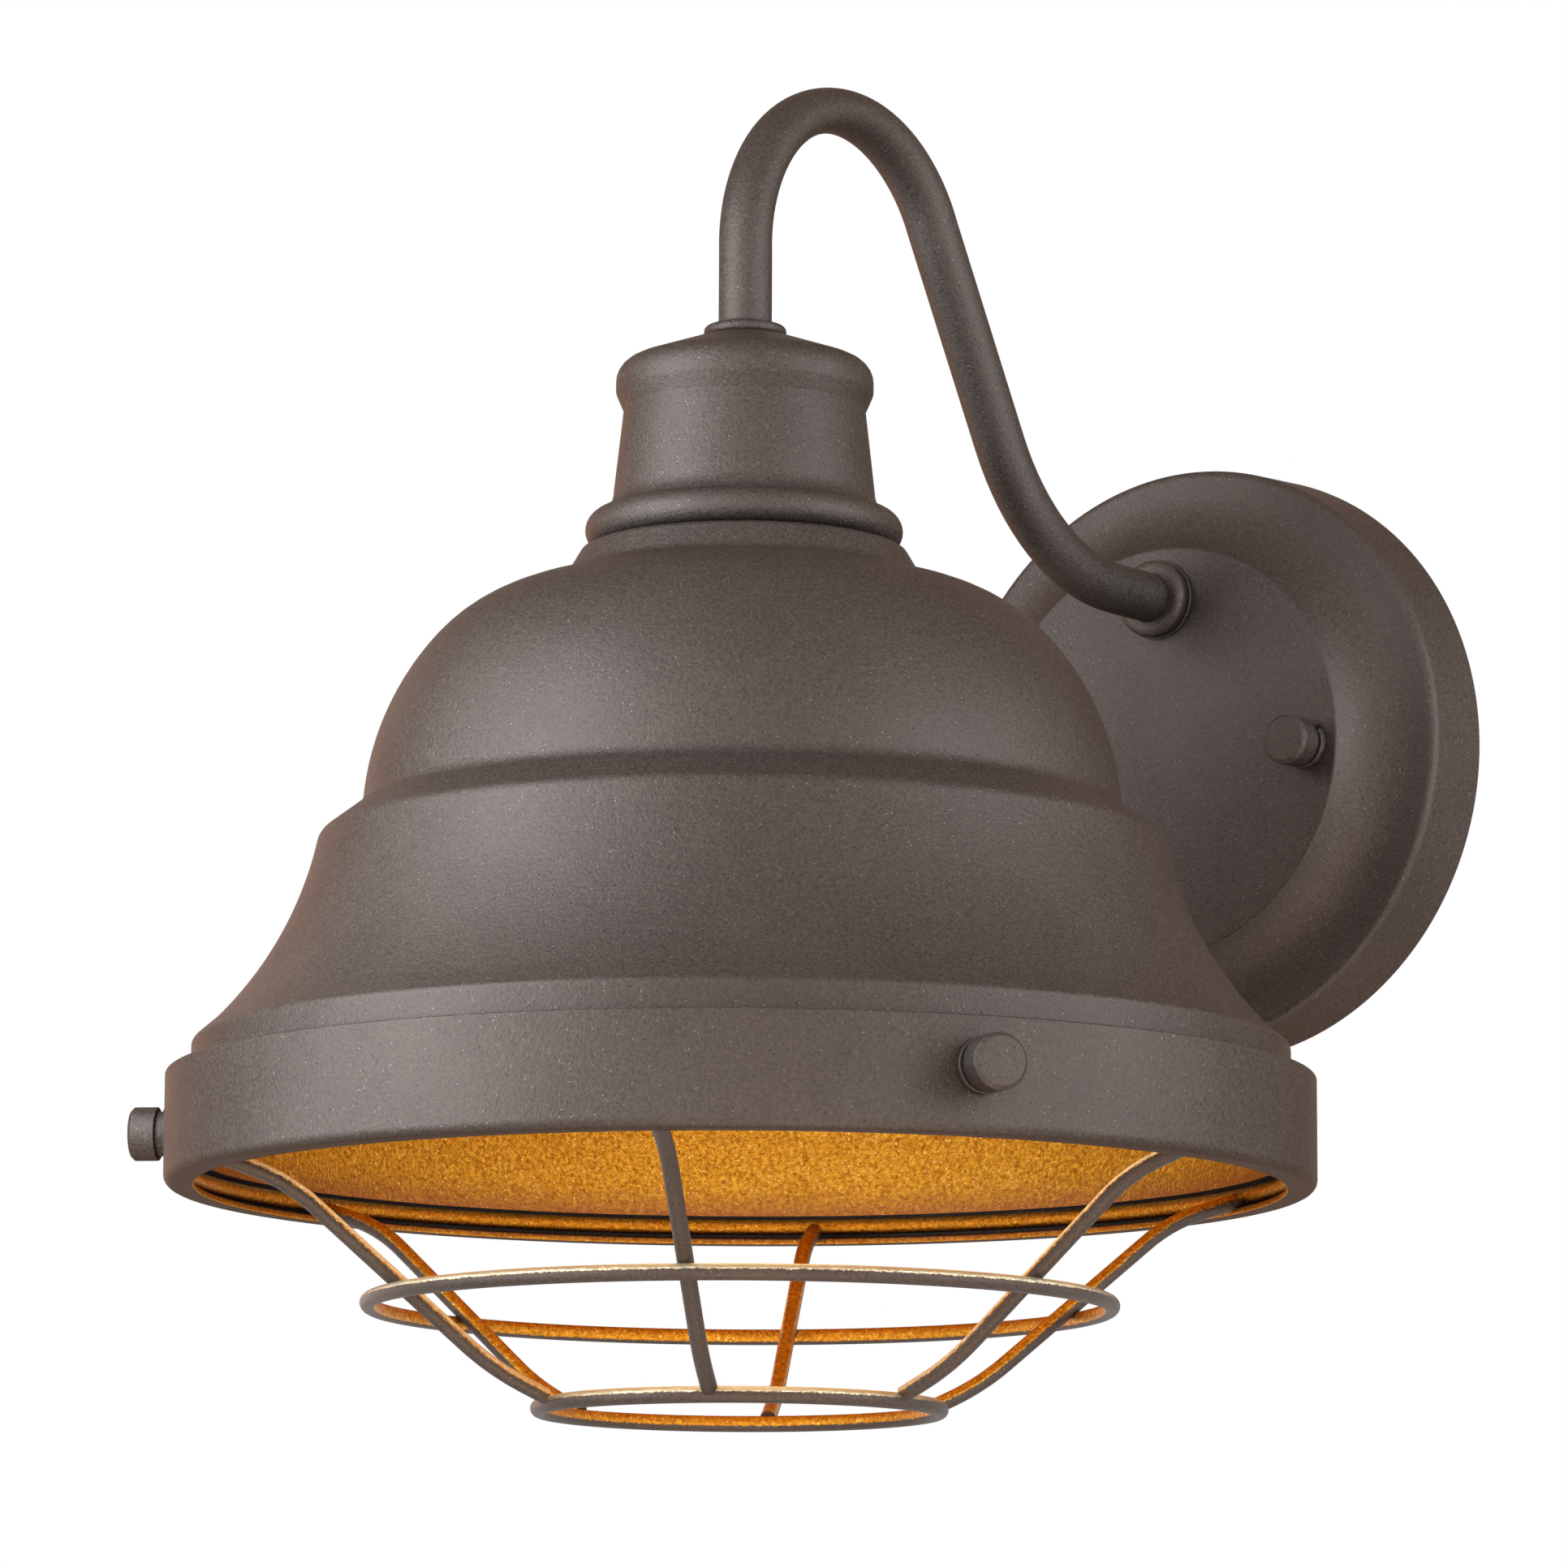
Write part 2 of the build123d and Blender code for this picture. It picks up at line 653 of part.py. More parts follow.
# Lamp holder: cap with a hub on the nipple, body with a threaded skirt, screw shell and contacts
spigot_radius = holder_radius - holder_cap_wall - thread_gap
with BuildPart() as holder_cap:
    with BuildSketch(shade_level(holder_joint)):
        Circle(holder_radius)
    extrude(amount=holder_cap_length)
    with BuildSketch(shade_level(holder_joint)):
        Circle(holder_radius - holder_cap_wall)
    extrude(amount=holder_cap_length - holder_cap_wall, mode=Mode.SUBTRACT)
    with BuildSketch(shade_level(holder_cap_top)):
        Circle(nipple_radius + hub_wall)
    extrude(amount=hub_length)
    with BuildSketch(shade_level(cap_nipple_bottom)):
        Circle(nipple_hole)
    extrude(amount=holder_cap_wall + hub_length, mode=Mode.SUBTRACT)
save(holder_cap, "holder_cap")

cavity_radius = shell_bore + shell_wall + thread_gap
with BuildPart() as holder_body:
    with BuildSketch(shade_level(holder_bottom)):
        Circle(holder_radius)
    extrude(amount=holder_length)
    with BuildSketch(shade_level(holder_joint)):
        Circle(spigot_radius)
    extrude(amount=holder_spigot)
    with BuildSketch(shade_level(holder_bottom)):
        Circle(cavity_radius)
    extrude(amount=holder_cavity, mode=Mode.SUBTRACT)
save(holder_body, "holder_body")

cavity_top = holder_bottom + holder_cavity
with BuildPart() as screw_shell:
    with BuildSketch(shade_level(cavity_top - shell_top_gap - shell_length)):
        Circle(shell_bore + shell_wall)
        Circle(shell_bore, mode=Mode.SUBTRACT)
    extrude(amount=shell_length)
save(screw_shell, "screw_shell")

with BuildPart() as centre_contact:
    with BuildSketch(shade_level(cavity_top - contact_height)):
        Circle(contact_radius)
    extrude(amount=contact_height)
save(centre_contact, "centre_contact")

lead_hole = lead_radius + thread_gap
terminal_place = lead_offset - lead_hole - terminal_rim + terminal_width / 2
with BuildPart() as holder_terminals:
    with BuildSketch(shade_level(terminal_base)):
        with Locations((-terminal_place, 0), (terminal_place, 0)):
            Rectangle(terminal_width, terminal_depth)
        with Locations((-lead_offset, 0), (lead_offset, 0)):
            Circle(lead_hole, mode=Mode.SUBTRACT)
    extrude(amount=terminal_height)
save(holder_terminals, "holder_terminals")

# Notched ring that screws up the holder's skirt and clamps the shade
shade_ring_radius = holder_radius + shade_ring_width
with BuildPart() as shade_ring:
    with BuildSketch(shade_level(step_top - shade_wall - shade_ring_height)):
        Circle(shade_ring_radius)
        Circle(holder_radius + thread_gap, mode=Mode.SUBTRACT)
        with PolarLocations(shade_ring_radius, shade_ring_notches):
            Circle(shade_ring_notch, mode=Mode.SUBTRACT)
    extrude(amount=shade_ring_height)
save(shade_ring, "shade_ring")

# Rim band: upright ring with an inward lip, bored for the thumb screws
band_inside = shade_lip_radius + band_gap
band_radius = band_inside + band_wall
band_lip_radius = band_inside - band_lip_width
thumb_height = band_height / 2 + thumb_lift
thumb_angles = [thumb_first_angle + 360 / thumb_count * turn for turn in range(thumb_count)]
with BuildPart() as rim_band:
    with BuildSketch(shade_section) as band_profile:
        with BuildLine():
            Polyline(
                (band_lip_radius, 0),
                (band_radius, 0),
                (band_radius, band_height),
                (band_inside, band_height),
                (band_inside, band_lip),
                (band_lip_radius, band_lip),
                close=True,
            )
        make_face()
        fillet(band_profile.vertices().sort_by_distance((band_radius, 0))[0], band_bottom_round)
        fillet(band_profile.vertices().sort_by_distance((band_radius, band_height))[0], band_top_round)
    revolve(axis=shade_axis)
    for angle in thumb_angles:
        with BuildSketch(outward_plane(angle, thumb_height, band_inside - band_wall)):
            Circle(thumb_radius + slip_gap)
        extrude(amount=3 * band_wall, mode=Mode.SUBTRACT)
save(rim_band, "rim_band")

# Weld nuts on the inside of the band
nut_outside = band_inside - weld_nut_gap
with BuildPart() as weld_nuts:
    for angle in thumb_angles:
        with BuildSketch(outward_plane(angle, thumb_height, nut_outside - weld_nut_height)):
            RegularPolygon(weld_nut_flats / 2, 6, major_radius=False, rotation=30)
            Circle(thumb_radius + thread_gap, mode=Mode.SUBTRACT)
        extrude(amount=weld_nut_height)
save(weld_nuts, "weld_nuts")

# Thumb screws with their washers
thumb_tip = shade_lip_radius + thumb_tip_gap
washer_base = band_radius + seat_gap
neck_base = washer_base + washer_thickness
for number, angle in enumerate(thumb_angles, start=1):
    thumb_washer = turned_washer(outward_plane(angle, thumb_height, washer_base), thumb_radius + thread_gap)
    save(thumb_washer, f"thumb_washer_{number}")
    with BuildPart() as thumb_screw:
        with BuildSketch(outward_plane(angle, thumb_height, thumb_tip)):
            Circle(thumb_radius)
        extrude(amount=neck_base - thumb_tip)
        with BuildSketch(outward_plane(angle, thumb_height, neck_base)):
            Circle(neck_radius)
        extrude(amount=neck_length)
        head_plane = outward_plane(angle, thumb_height, neck_base + neck_length)
        with BuildSketch(head_plane):
            Circle(head_radius)
        extrude(amount=head_length)
        outwards = Axis(head_plane.origin, head_plane.z_dir)
        chamfer(thumb_screw.faces().sort_by(outwards)[-1].edges(), head_chamfer)
    save(thumb_screw, f"thumb_screw_{number}")

# Middle line of a cage rib: it hangs from the seat ring, passes inside the middle ring and ends on the
# bottom ring
seat_ring_radius = band_inside - wire_radius - seat_gap
seat_ring_height = band_lip + seat_ring_lift + wire_radius
top_slope = math.tan(math.radians(rib_top_slope))
foot_slope = math.tan(math.radians(rib_foot_slope))
rib_top = (seat_ring_radius - rib_top_tuck[0], seat_ring_height - rib_top_tuck[1])
rib_knee = (rib_top[0] - rib_top_run, rib_top[1] - rib_top_run * top_slope)
rib_foot = (bottom_ring_radius + rib_foot_tuck[0], rib_foot_tuck[1] - bottom_ring_drop)
rib_ankle = (rib_foot[0] + rib_foot_run, rib_foot[1] + rib_foot_run * foot_slope)

# Cage rings: the seat ring lies against the inside of the band, the middle ring under the ribs
lean = math.atan2(rib_knee[1] - rib_ankle[1], rib_knee[0] - rib_ankle[0])
weld_reach = 2 * wire_radius - rib_weld_sink
weld_run = middle_ring_radius - weld_reach * math.sin(lean) - rib_ankle[0]
middle_ring_height = rib_ankle[1] + weld_run * math.tan(lean) - weld_reach * math.cos(lean)
cage_rings = {
    "cage_seat_ring": (seat_ring_radius, seat_ring_height),
    "cage_middle_ring": (middle_ring_radius, middle_ring_height),
    "cage_bottom_ring": (bottom_ring_radius, -bottom_ring_drop),
}
ring_solids = []
for name, (radius, height) in cage_rings.items():
    with BuildPart(shade_level(height)) as cage_ring:
        Torus(radius, wire_radius)
    save(cage_ring, name)
    ring_solids.append(cage_ring.part)

# Cage ribs, notched where they are welded to the rings
for number in range(rib_count):
    rib_plane = radial_plane(rib_first_angle + 360 / rib_count * number)
    with BuildPart() as rib:
        with BuildLine(rib_plane) as rib_line:
            FilletPolyline(rib_top, rib_knee, rib_ankle, rib_foot, radius=[rib_top_bend, rib_foot_bend])
        with BuildSketch(Plane(origin=rib_line.line @ 0, z_dir=rib_line.line % 0)):
            Circle(wire_radius)
        sweep(path=rib_line.wires()[0])
        for ring in ring_solids:
            add(ring, mode=Mode.SUBTRACT)
    save(rib, f"cage_rib_{number + 1}")
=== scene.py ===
import math
from functools import partial

import bmesh
import bpy
from mathutils import Euler, Matrix, Vector


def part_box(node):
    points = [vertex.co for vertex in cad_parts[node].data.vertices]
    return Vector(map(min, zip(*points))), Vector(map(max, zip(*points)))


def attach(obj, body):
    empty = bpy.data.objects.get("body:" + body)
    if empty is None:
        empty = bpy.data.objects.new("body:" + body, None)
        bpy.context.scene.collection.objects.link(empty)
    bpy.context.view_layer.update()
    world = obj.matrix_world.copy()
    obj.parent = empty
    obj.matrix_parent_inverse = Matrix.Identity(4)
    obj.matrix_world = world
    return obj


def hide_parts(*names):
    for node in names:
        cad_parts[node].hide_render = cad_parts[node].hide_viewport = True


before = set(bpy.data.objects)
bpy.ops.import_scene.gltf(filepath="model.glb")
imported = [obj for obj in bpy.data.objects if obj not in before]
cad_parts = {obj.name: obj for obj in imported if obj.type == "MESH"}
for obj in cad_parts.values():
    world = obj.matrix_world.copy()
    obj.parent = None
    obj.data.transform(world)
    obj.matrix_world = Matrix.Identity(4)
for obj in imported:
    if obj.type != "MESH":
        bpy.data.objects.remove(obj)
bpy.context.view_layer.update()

# Box strap and stud bar: two strips of zinc-plated steel, punched and sheared from coil stock.
# The upright strap is screwed to the outlet box through its slots; the level bar is riveted across it
# and carries the studs that hold the wall plate.

MM = 0.001
touching = 1e-6  # points closer than this are one


def live(sockets, name):
    """The socket of that name that is in use: some nodes keep hidden ones of other types."""
    return next(socket for socket in sockets if socket.name == name and socket.enabled)


def add_node(tree, kind, inputs=(), **options):
    """Place a node, set its options, and give each named or numbered input a value or a link."""
    node = tree.nodes.new(kind)
    for option, value in options.items():
        setattr(node, option, value)
    for name, value in dict(inputs).items():
        target = node.inputs[name] if isinstance(name, int) else live(node.inputs, name)
        if isinstance(value, bpy.types.NodeSocket):
            tree.links.new(value, target)
        else:
            target.default_value = value
    return node


def reckon(tree, operation, *terms):
    """One step of arithmetic on numbers and sockets."""
    return add_node(tree, "ShaderNodeMath", enumerate(terms), operation=operation).outputs[0]


def vector_step(tree, operation, *terms):
    """One step of arithmetic on vectors."""
    node = add_node(tree, "ShaderNodeVectorMath", enumerate(terms), operation=operation)
    return node.outputs["Value" if operation == "DOT_PRODUCT" else "Vector"]


def noise(tree, place, scale, detail, roughness=0.5):
    """Soft random values about 0.5."""
    settings = {"Vector": place, "Scale": scale, "Detail": detail, "Roughness": roughness}
    return add_node(tree, "ShaderNodeTexNoise", settings).outputs[0]


def ramp(tree, value, start, end, kind="LINEAR"):
    """A share that goes from 0 to 1 as the value goes from start to end."""
    limits = {"Value": value, "From Min": start, "From Max": end}
    return add_node(tree, "ShaderNodeMapRange", limits, interpolation_type=kind).outputs[0]


def new_group(name, kind, outputs, inputs):
    """A node group with its sockets: the group, its inputs seen from inside, and their identifiers."""
    tree = bpy.data.node_groups.new(name, kind)
    for label, sort in outputs.items():
        tree.interface.new_socket(label, in_out="OUTPUT", socket_type=f"NodeSocket{sort}")
    identifiers = {}
    for label, (sort, value) in inputs.items():
        socket = tree.interface.new_socket(label, in_out="INPUT", socket_type=f"NodeSocket{sort}")
        if value is not None:
            socket.default_value = value
        identifiers[label] = socket.identifier
    return tree, add_node(tree, "NodeGroupInput").outputs, identifiers


surface_grain, given, _ = new_group(
    "surface grain", "ShaderNodeTree",
    {"Grain": "Float", "Mottle": "Float", "Flecks": "Float", "Pits": "Float"},
    {
        "Grain Size": ("Float", 0.0006),
        "Mottle Size": ("Float", 0.02),
        "Fleck Share": ("Float", 0.02),
        "Stretch": ("Vector", (1, 1, 1)),
    },
)
lump_scale = 0.62  # scale of a noise whose lumps are one unit across
usual_noise = (0.3, 0.7)  # where nearly all of a noise's values lie
fleck_crowding, fleck_radius = 1.5, 0.32  # cells of flecks to a grain, and a fleck's size in its cell
grain_sum = partial(reckon, surface_grain)
place = add_node(surface_grain, "ShaderNodeTexCoord").outputs["Object"]
place = vector_step(surface_grain, "MULTIPLY", place, given["Stretch"])
grain_scale = grain_sum("DIVIDE", lump_scale, given["Grain Size"])
mottle_scale = grain_sum("DIVIDE", lump_scale, given["Mottle Size"])
fleck_scale = grain_sum("MULTIPLY", grain_scale, fleck_crowding)
cells = add_node(surface_grain, "ShaderNodeTexVoronoi", {"Vector": place, "Scale": fleck_scale}).outputs
lot = add_node(surface_grain, "ShaderNodeSeparateColor", {"Color": cells["Color"]}).outputs
in_middle = grain_sum("LESS_THAN", cells["Distance"], fleck_radius)
flecks, pits = [
    grain_sum("MULTIPLY", in_middle, grain_sum("LESS_THAN", lot[channel], given["Fleck Share"]))
    for channel in ("Red", "Green")
]
add_node(surface_grain, "NodeGroupOutput", {
    "Grain": ramp(surface_grain, noise(surface_grain, place, grain_scale, 3.0, 0.75), *usual_noise),
    "Mottle": ramp(surface_grain, noise(surface_grain, place, mottle_scale, 4.0), *usual_noise),
    "Flecks": flecks,
    "Pits": pits,
})


def blend_colours(tree, share, below, above):
    """A colour that goes from one to the other as the share goes from 0 to 1."""
    below, above = [(*colour, 1) if isinstance(colour, tuple) else colour for colour in (below, above)]
    mix = add_node(tree, "ShaderNodeMix", {"Factor": share, "A": below, "B": above}, data_type="RGBA")
    return live(mix.outputs, "Result")


def finish(name, dark, light, grain, rough, relief=0.00001, mottle=(0.02, 0.25), flecks=None,
           stretch=(1, 1, 1), metallic=0.0, specular=0.5, edge_tint=(1, 1, 1)):
    """A surface of two tones in fine grain, over a wide mottle, with roughness and relief from the grain."""
    material = bpy.data.materials.new(name)
    material.use_nodes = True
    tree = material.node_tree
    shader = tree.nodes["Principled BSDF"]
    mottle_size, mottle_strength = mottle
    fleck_share, *fleck_colours = flecks or (0.0,)
    texture = add_node(tree, "ShaderNodeGroup", {
        "Grain Size": grain, "Mottle Size": mottle_size, "Stretch": stretch, "Fleck Share": fleck_share,
    }, node_tree=surface_grain).outputs
    mottling = reckon(tree, "SUBTRACT", texture["Mottle"], 0.5)
    share = reckon(tree, "MULTIPLY_ADD", mottling, mottle_strength, texture["Grain"])
    colour = blend_colours(tree, share, dark, light)
    for mask, fleck_colour in zip(("Flecks", "Pits"), fleck_colours):
        colour = blend_colours(tree, texture[mask], colour, fleck_colour)
    roughness = reckon(tree, "MULTIPLY_ADD", texture["Grain"], rough[1] - rough[0], rough[0])
    bump = add_node(tree, "ShaderNodeBump", {"Height": texture["Grain"], "Distance": relief, "Strength": 1.0})
    for socket, value in (("Base Color", colour), ("Roughness", roughness), ("Normal", bump.outputs[0])):
        tree.links.new(value, shader.inputs[socket])
    shader.inputs["Metallic"].default_value = metallic
    shader.inputs["Specular IOR Level"].default_value = specular
    shader.inputs["Specular Tint"].default_value = (*edge_tint, 1)
    return material


def rounded(width, height, corner, x=0.0, z=0.0, steps=6):
    """Outline of a rectangle with round corners; a slot or a round hole where the corners meet."""
    outline = []
    for quarter, (side, end) in enumerate(((1, 1), (-1, 1), (-1, -1), (1, -1))):
        for step in range(steps + 1):
            turn = math.radians(90 * (quarter + step / steps))
            point = (
                x + side * (width / 2 - corner) + corner * math.cos(turn),
                z + end * (height / 2 - corner) + corner * math.sin(turn),
            )
            if not outline or math.dist(point, outline[-1]) > touching:
                outline.append(point)
    if math.dist(outline[0], outline[-1]) < touching:
        outline.pop()
    return outline


def round_hole(radius, x=0.0, z=0.0):
    """Outline of a round hole."""
    return rounded(2 * radius, 2 * radius, radius, x, z)


def new_piece(name, mesh, material):
    """An object for a mesh that is in place already."""
    piece = bpy.data.objects.new(name, mesh)
    bpy.context.collection.objects.link(piece)
    mesh.materials.clear()
    mesh.materials.append(material)
    return piece


strap_length, strap_width, strap_gauge, strap_corner = 107.9, 20.0, 1.6, 3.0
sheared_edge, sheared_fold = 0.22, math.radians(60)


def punched_plate(name, outlines, back, front, material):
    """A flat strip along the wall: the first outline is its edge and the others are holes."""
    shape = bmesh.new()
    for outline in outlines:
        corners = [shape.verts.new((x * MM, -back * MM, z * MM)) for x, z in outline]
        for one, other in zip(corners, corners[1:] + corners[:1]):
            shape.edges.new((one, other))
    bmesh.ops.triangle_fill(shape, use_beauty=True, edges=shape.edges[:])
    grown = bmesh.ops.extrude_face_region(shape, geom=shape.faces[:])["geom"]
    front_corners = [part for part in grown if isinstance(part, bmesh.types.BMVert)]
    bmesh.ops.translate(shape, verts=front_corners, vec=(0, (back - front) * MM, 0))
    bmesh.ops.recalc_face_normals(shape, faces=shape.faces[:])
    sharp = [line for line in shape.edges if line.calc_face_angle(0) > sheared_fold]
    bmesh.ops.bevel(shape, geom=sharp, offset=sheared_edge * MM, segments=2, profile=0.5, affect="EDGES")
    mesh = bpy.data.meshes.new(name)
    shape.to_mesh(mesh)
    shape.free()
    return new_piece(name, mesh, material)


def dress(piece, slot, *nodes, body="fixture"):
    """Let a piece ride on a body and stand for the nodes given, or for the one that it is named after."""
    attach(piece, body)
    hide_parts(*(nodes or [piece.name.split(".")[0]]))


zinc = finish("zinc plated steel", dark=(0.34, 0.35, 0.36), light=(0.62, 0.63, 0.62), grain=0.0009,
              rough=(0.28, 0.42), mottle=(0.008, 0.9), stretch=(1, 1, 0.25), metallic=1.0)
slot_width, slot_length, slot_spacing = 4.8, 14.325, 79.375
bar_length, bar_front, stud_bore = 108.0, 2 * strap_gauge, 2.1
stud_x, stud_z, ground_x = 40.0, -1.75, 22.0
rivet_hole = round_hole(5.25)
box_slots = [
    rounded(slot_width, slot_length, slot_width / 2, z=end * slot_spacing / 2) for end in (-1, 1)
]
box_strap = punched_plate(
    "box_strap.dressed", [rounded(strap_width, strap_length, strap_corner), rivet_hole, *box_slots],
    0.0, strap_gauge, zinc,
)
bar_holes = [round_hole(stud_bore, side * stud_x, stud_z) for side in (-1, 1)] + [round_hole(2.15, ground_x)]
stud_bar = punched_plate(
    "stud_bar.dressed", [rounded(bar_length, strap_width, strap_corner), rivet_hole, *bar_holes],
    strap_gauge, bar_front, zinc,
)
for piece in (box_strap, stud_bar):
    dress(piece, "zinc_steel")

# Rivet and ground screw: a wide-headed steel rivet joins strap and bar, and a green hex-headed screw
# in the bar takes the ground wire. Both are turned or headed parts, so they are spun from a profile.

sharp_fold = math.radians(35)


def rolled_sheet(tree, line, segments):
    """A grid with a row for each point of a line, and the row and the angle round of each of its points."""
    size = add_node(tree, "GeometryNodeAttributeDomainSize", {"Geometry": line}, component="MESH")
    rows = size.outputs["Point Count"]
    columns = reckon(tree, "ADD", segments, 1)
    grid = add_node(tree, "GeometryNodeMeshGrid", {"Vertices X": columns, "Vertices Y": rows})
    index = add_node(tree, "GeometryNodeInputIndex").outputs[0]
    column = reckon(tree, "FLOOR", reckon(tree, "DIVIDE", reckon(tree, "ADD", index, 0.5), rows))
    angle = reckon(tree, "MULTIPLY", reckon(tree, "DIVIDE", column, segments), math.tau)
    return grid.outputs["Mesh"], reckon(tree, "FLOORED_MODULO", index, rows), angle


def sampled(tree, line, row, kind, attribute=None):
    """The place of a row's point on the line, or an attribute that the point carries."""
    if attribute:
        source = add_node(tree, "GeometryNodeInputNamedAttribute", {"Name": attribute}, data_type=kind)
        value = live(source.outputs, "Attribute")
    else:
        value = add_node(tree, "GeometryNodeInputPosition").outputs[0]
    reading = {"Geometry": line, "Value": value, "Index": row}
    sample = add_node(tree, "GeometryNodeSampleIndex", reading, data_type=kind, domain="POINT")
    return live(sample.outputs, "Value")


def rolled_up(tree, sheet, places):
    """Move the points of a sheet to their places and join its seams."""
    piece = add_node(tree, "GeometryNodeSetPosition", {"Geometry": sheet, "Position": places}).outputs[0]
    return add_node(tree, "GeometryNodeMergeByDistance", {"Geometry": piece, "Distance": touching}).outputs[0]


def shaded(tree, piece, sharp_from=None):
    """Shade a piece smooth, apart from its folds past an angle."""
    smooth = {"Geometry": piece, "Shade Smooth": True}
    piece = add_node(tree, "GeometryNodeSetShadeSmooth", smooth, domain="FACE").outputs[0]
    if sharp_from is None:
        return piece
    fold = add_node(tree, "GeometryNodeInputMeshEdgeAngle").outputs["Unsigned Angle"]
    past = reckon(tree, "GREATER_THAN", fold, sharp_from)
    sharp = {"Geometry": piece, "Selection": past, "Shade Smooth": False}
    return add_node(tree, "GeometryNodeSetShadeSmooth", sharp, domain="EDGE").outputs[0]


def put_out(tree, piece, material):
    """End a tree with a real mesh in its material."""
    piece = add_node(tree, "GeometryNodeRealizeInstances", {"Geometry": piece}).outputs[0]
    piece = add_node(tree, "GeometryNodeSetMaterial", {"Geometry": piece, "Material": material}).outputs[0]
    add_node(tree, "NodeGroupOutput", {"Piece": piece})


lathe, given, lathe_inputs = new_group(
    "turned piece", "GeometryNodeTree",
    {"Piece": "Geometry"},
    {
        "Profile": ("Geometry", None),
        "Segments": ("Int", 64),
        "Sides": ("Int", 6),
        "Flats": ("Float", 1.0),
        "Notches": ("Int", 1),
        "Notch Rim": ("Float", 1.0),
        "Notch Radius": ("Float", 0.0),
        "Pitch": ("Float", 1.0),
        "Thread Depth": ("Float", 0.0),
        "Flutes": ("Int", 1),
        "Flute Depth": ("Float", 0.0),
        "Turn": ("Vector", (0, 0, 0)),
        "Place": ("Vector", (0, 0, 0)),
        "Sharp Angle": ("Float", sharp_fold),
        "Material": ("Material", None),
    },
)
spin = partial(reckon, lathe)
sheet, row, angle = rolled_sheet(lathe, given["Profile"], given["Segments"])
corner = sampled(lathe, given["Profile"], row, "FLOAT_VECTOR")
point = add_node(lathe, "ShaderNodeSeparateXYZ", {0: corner}).outputs
cut = sampled(lathe, given["Profile"], row, "FLOAT", "cut")


def off_middle(count):
    """The angle from the middle of the side that a point is on, of so many equal sides."""
    side = spin("DIVIDE", math.tau, count)
    return spin("SUBTRACT", spin("FLOORED_MODULO", angle, side), spin("MULTIPLY", side, 0.5))


def wave(depth, shape, turn):
    """A cut that swings between nothing and its depth."""
    return spin("MULTIPLY", depth, spin("MULTIPLY_ADD", spin(shape, turn), 0.5, 0.5))


flat = spin("DIVIDE", given["Flats"], spin("COSINE", off_middle(given["Sides"])))
radius = spin("MINIMUM", point["X"], flat)
off_notch = off_middle(given["Notches"])
across = spin("MULTIPLY", given["Notch Rim"], spin("SINE", off_notch))
notch_square = spin("MULTIPLY", given["Notch Radius"], given["Notch Radius"])
dip = spin("SUBTRACT", notch_square, spin("MULTIPLY", across, across))
notch_middle = spin("MULTIPLY", given["Notch Rim"], spin("COSINE", off_notch))
notch_floor = spin("SUBTRACT", notch_middle, spin("SQRT", spin("MAXIMUM", dip, 0.0)))
bite = spin("MAXIMUM", spin("SUBTRACT", radius, notch_floor), 0.0)
radius = spin("SUBTRACT", radius, spin("MULTIPLY", spin("GREATER_THAN", dip, 0.0), bite))
turns_along = spin("MULTIPLY", spin("DIVIDE", point["Z"], given["Pitch"]), math.tau)
thread = wave(given["Thread Depth"], "SINE", spin("SUBTRACT", turns_along, angle))
flute = wave(given["Flute Depth"], "COSINE", spin("MULTIPLY", angle, given["Flutes"]))
radius = spin("SUBTRACT", radius, spin("MULTIPLY", cut, spin("ADD", thread, flute)))
spun = add_node(lathe, "ShaderNodeCombineXYZ", {
    "X": spin("MULTIPLY", radius, spin("COSINE", angle)),
    "Y": spin("MULTIPLY", radius, spin("SINE", angle)),
    "Z": point["Z"],
}).outputs[0]
lean = {"Vector": spun, "Rotation": given["Turn"]}
leaning = add_node(lathe, "ShaderNodeVectorRotate", lean, rotation_type="EULER_XYZ").outputs[0]
piece = rolled_up(lathe, sheet, vector_step(lathe, "ADD", leaning, given["Place"]))
put_out(lathe, shaded(lathe, piece, given["Sharp Angle"]), given["Material"])


def line_piece(name, points, closed=False):
    """An object whose mesh is a line through points."""
    mesh = bpy.data.meshes.new(name)
    edges = [(number, number + 1) for number in range(len(points) - 1)]
    if closed:
        edges.append((len(points) - 1, 0))
    mesh.from_pydata(points, edges, [])
    piece = bpy.data.objects.new(name, mesh)
    bpy.context.collection.objects.link(piece)
    return piece


def plain_mesh(piece):
    """Keep the result of a piece's modifiers as its plain mesh."""
    mesh = bpy.data.meshes.new_from_object(piece.evaluated_get(bpy.context.evaluated_depsgraph_get()))
    piece.modifiers.clear()
    before, piece.data = piece.data, mesh
    bpy.data.meshes.remove(before)
    mesh.name = piece.name


def made_from(piece, tree, identifiers, sizes):
    """Run a piece's line through a node tree whose inputs are given as name or named_like_this."""
    maker = piece.modifiers.new("maker", "NODES")
    maker.node_group = tree
    for name, value in sizes.items():
        maker[identifiers[name.replace("_", " ").title()]] = value
    plain_mesh(piece)
    return piece


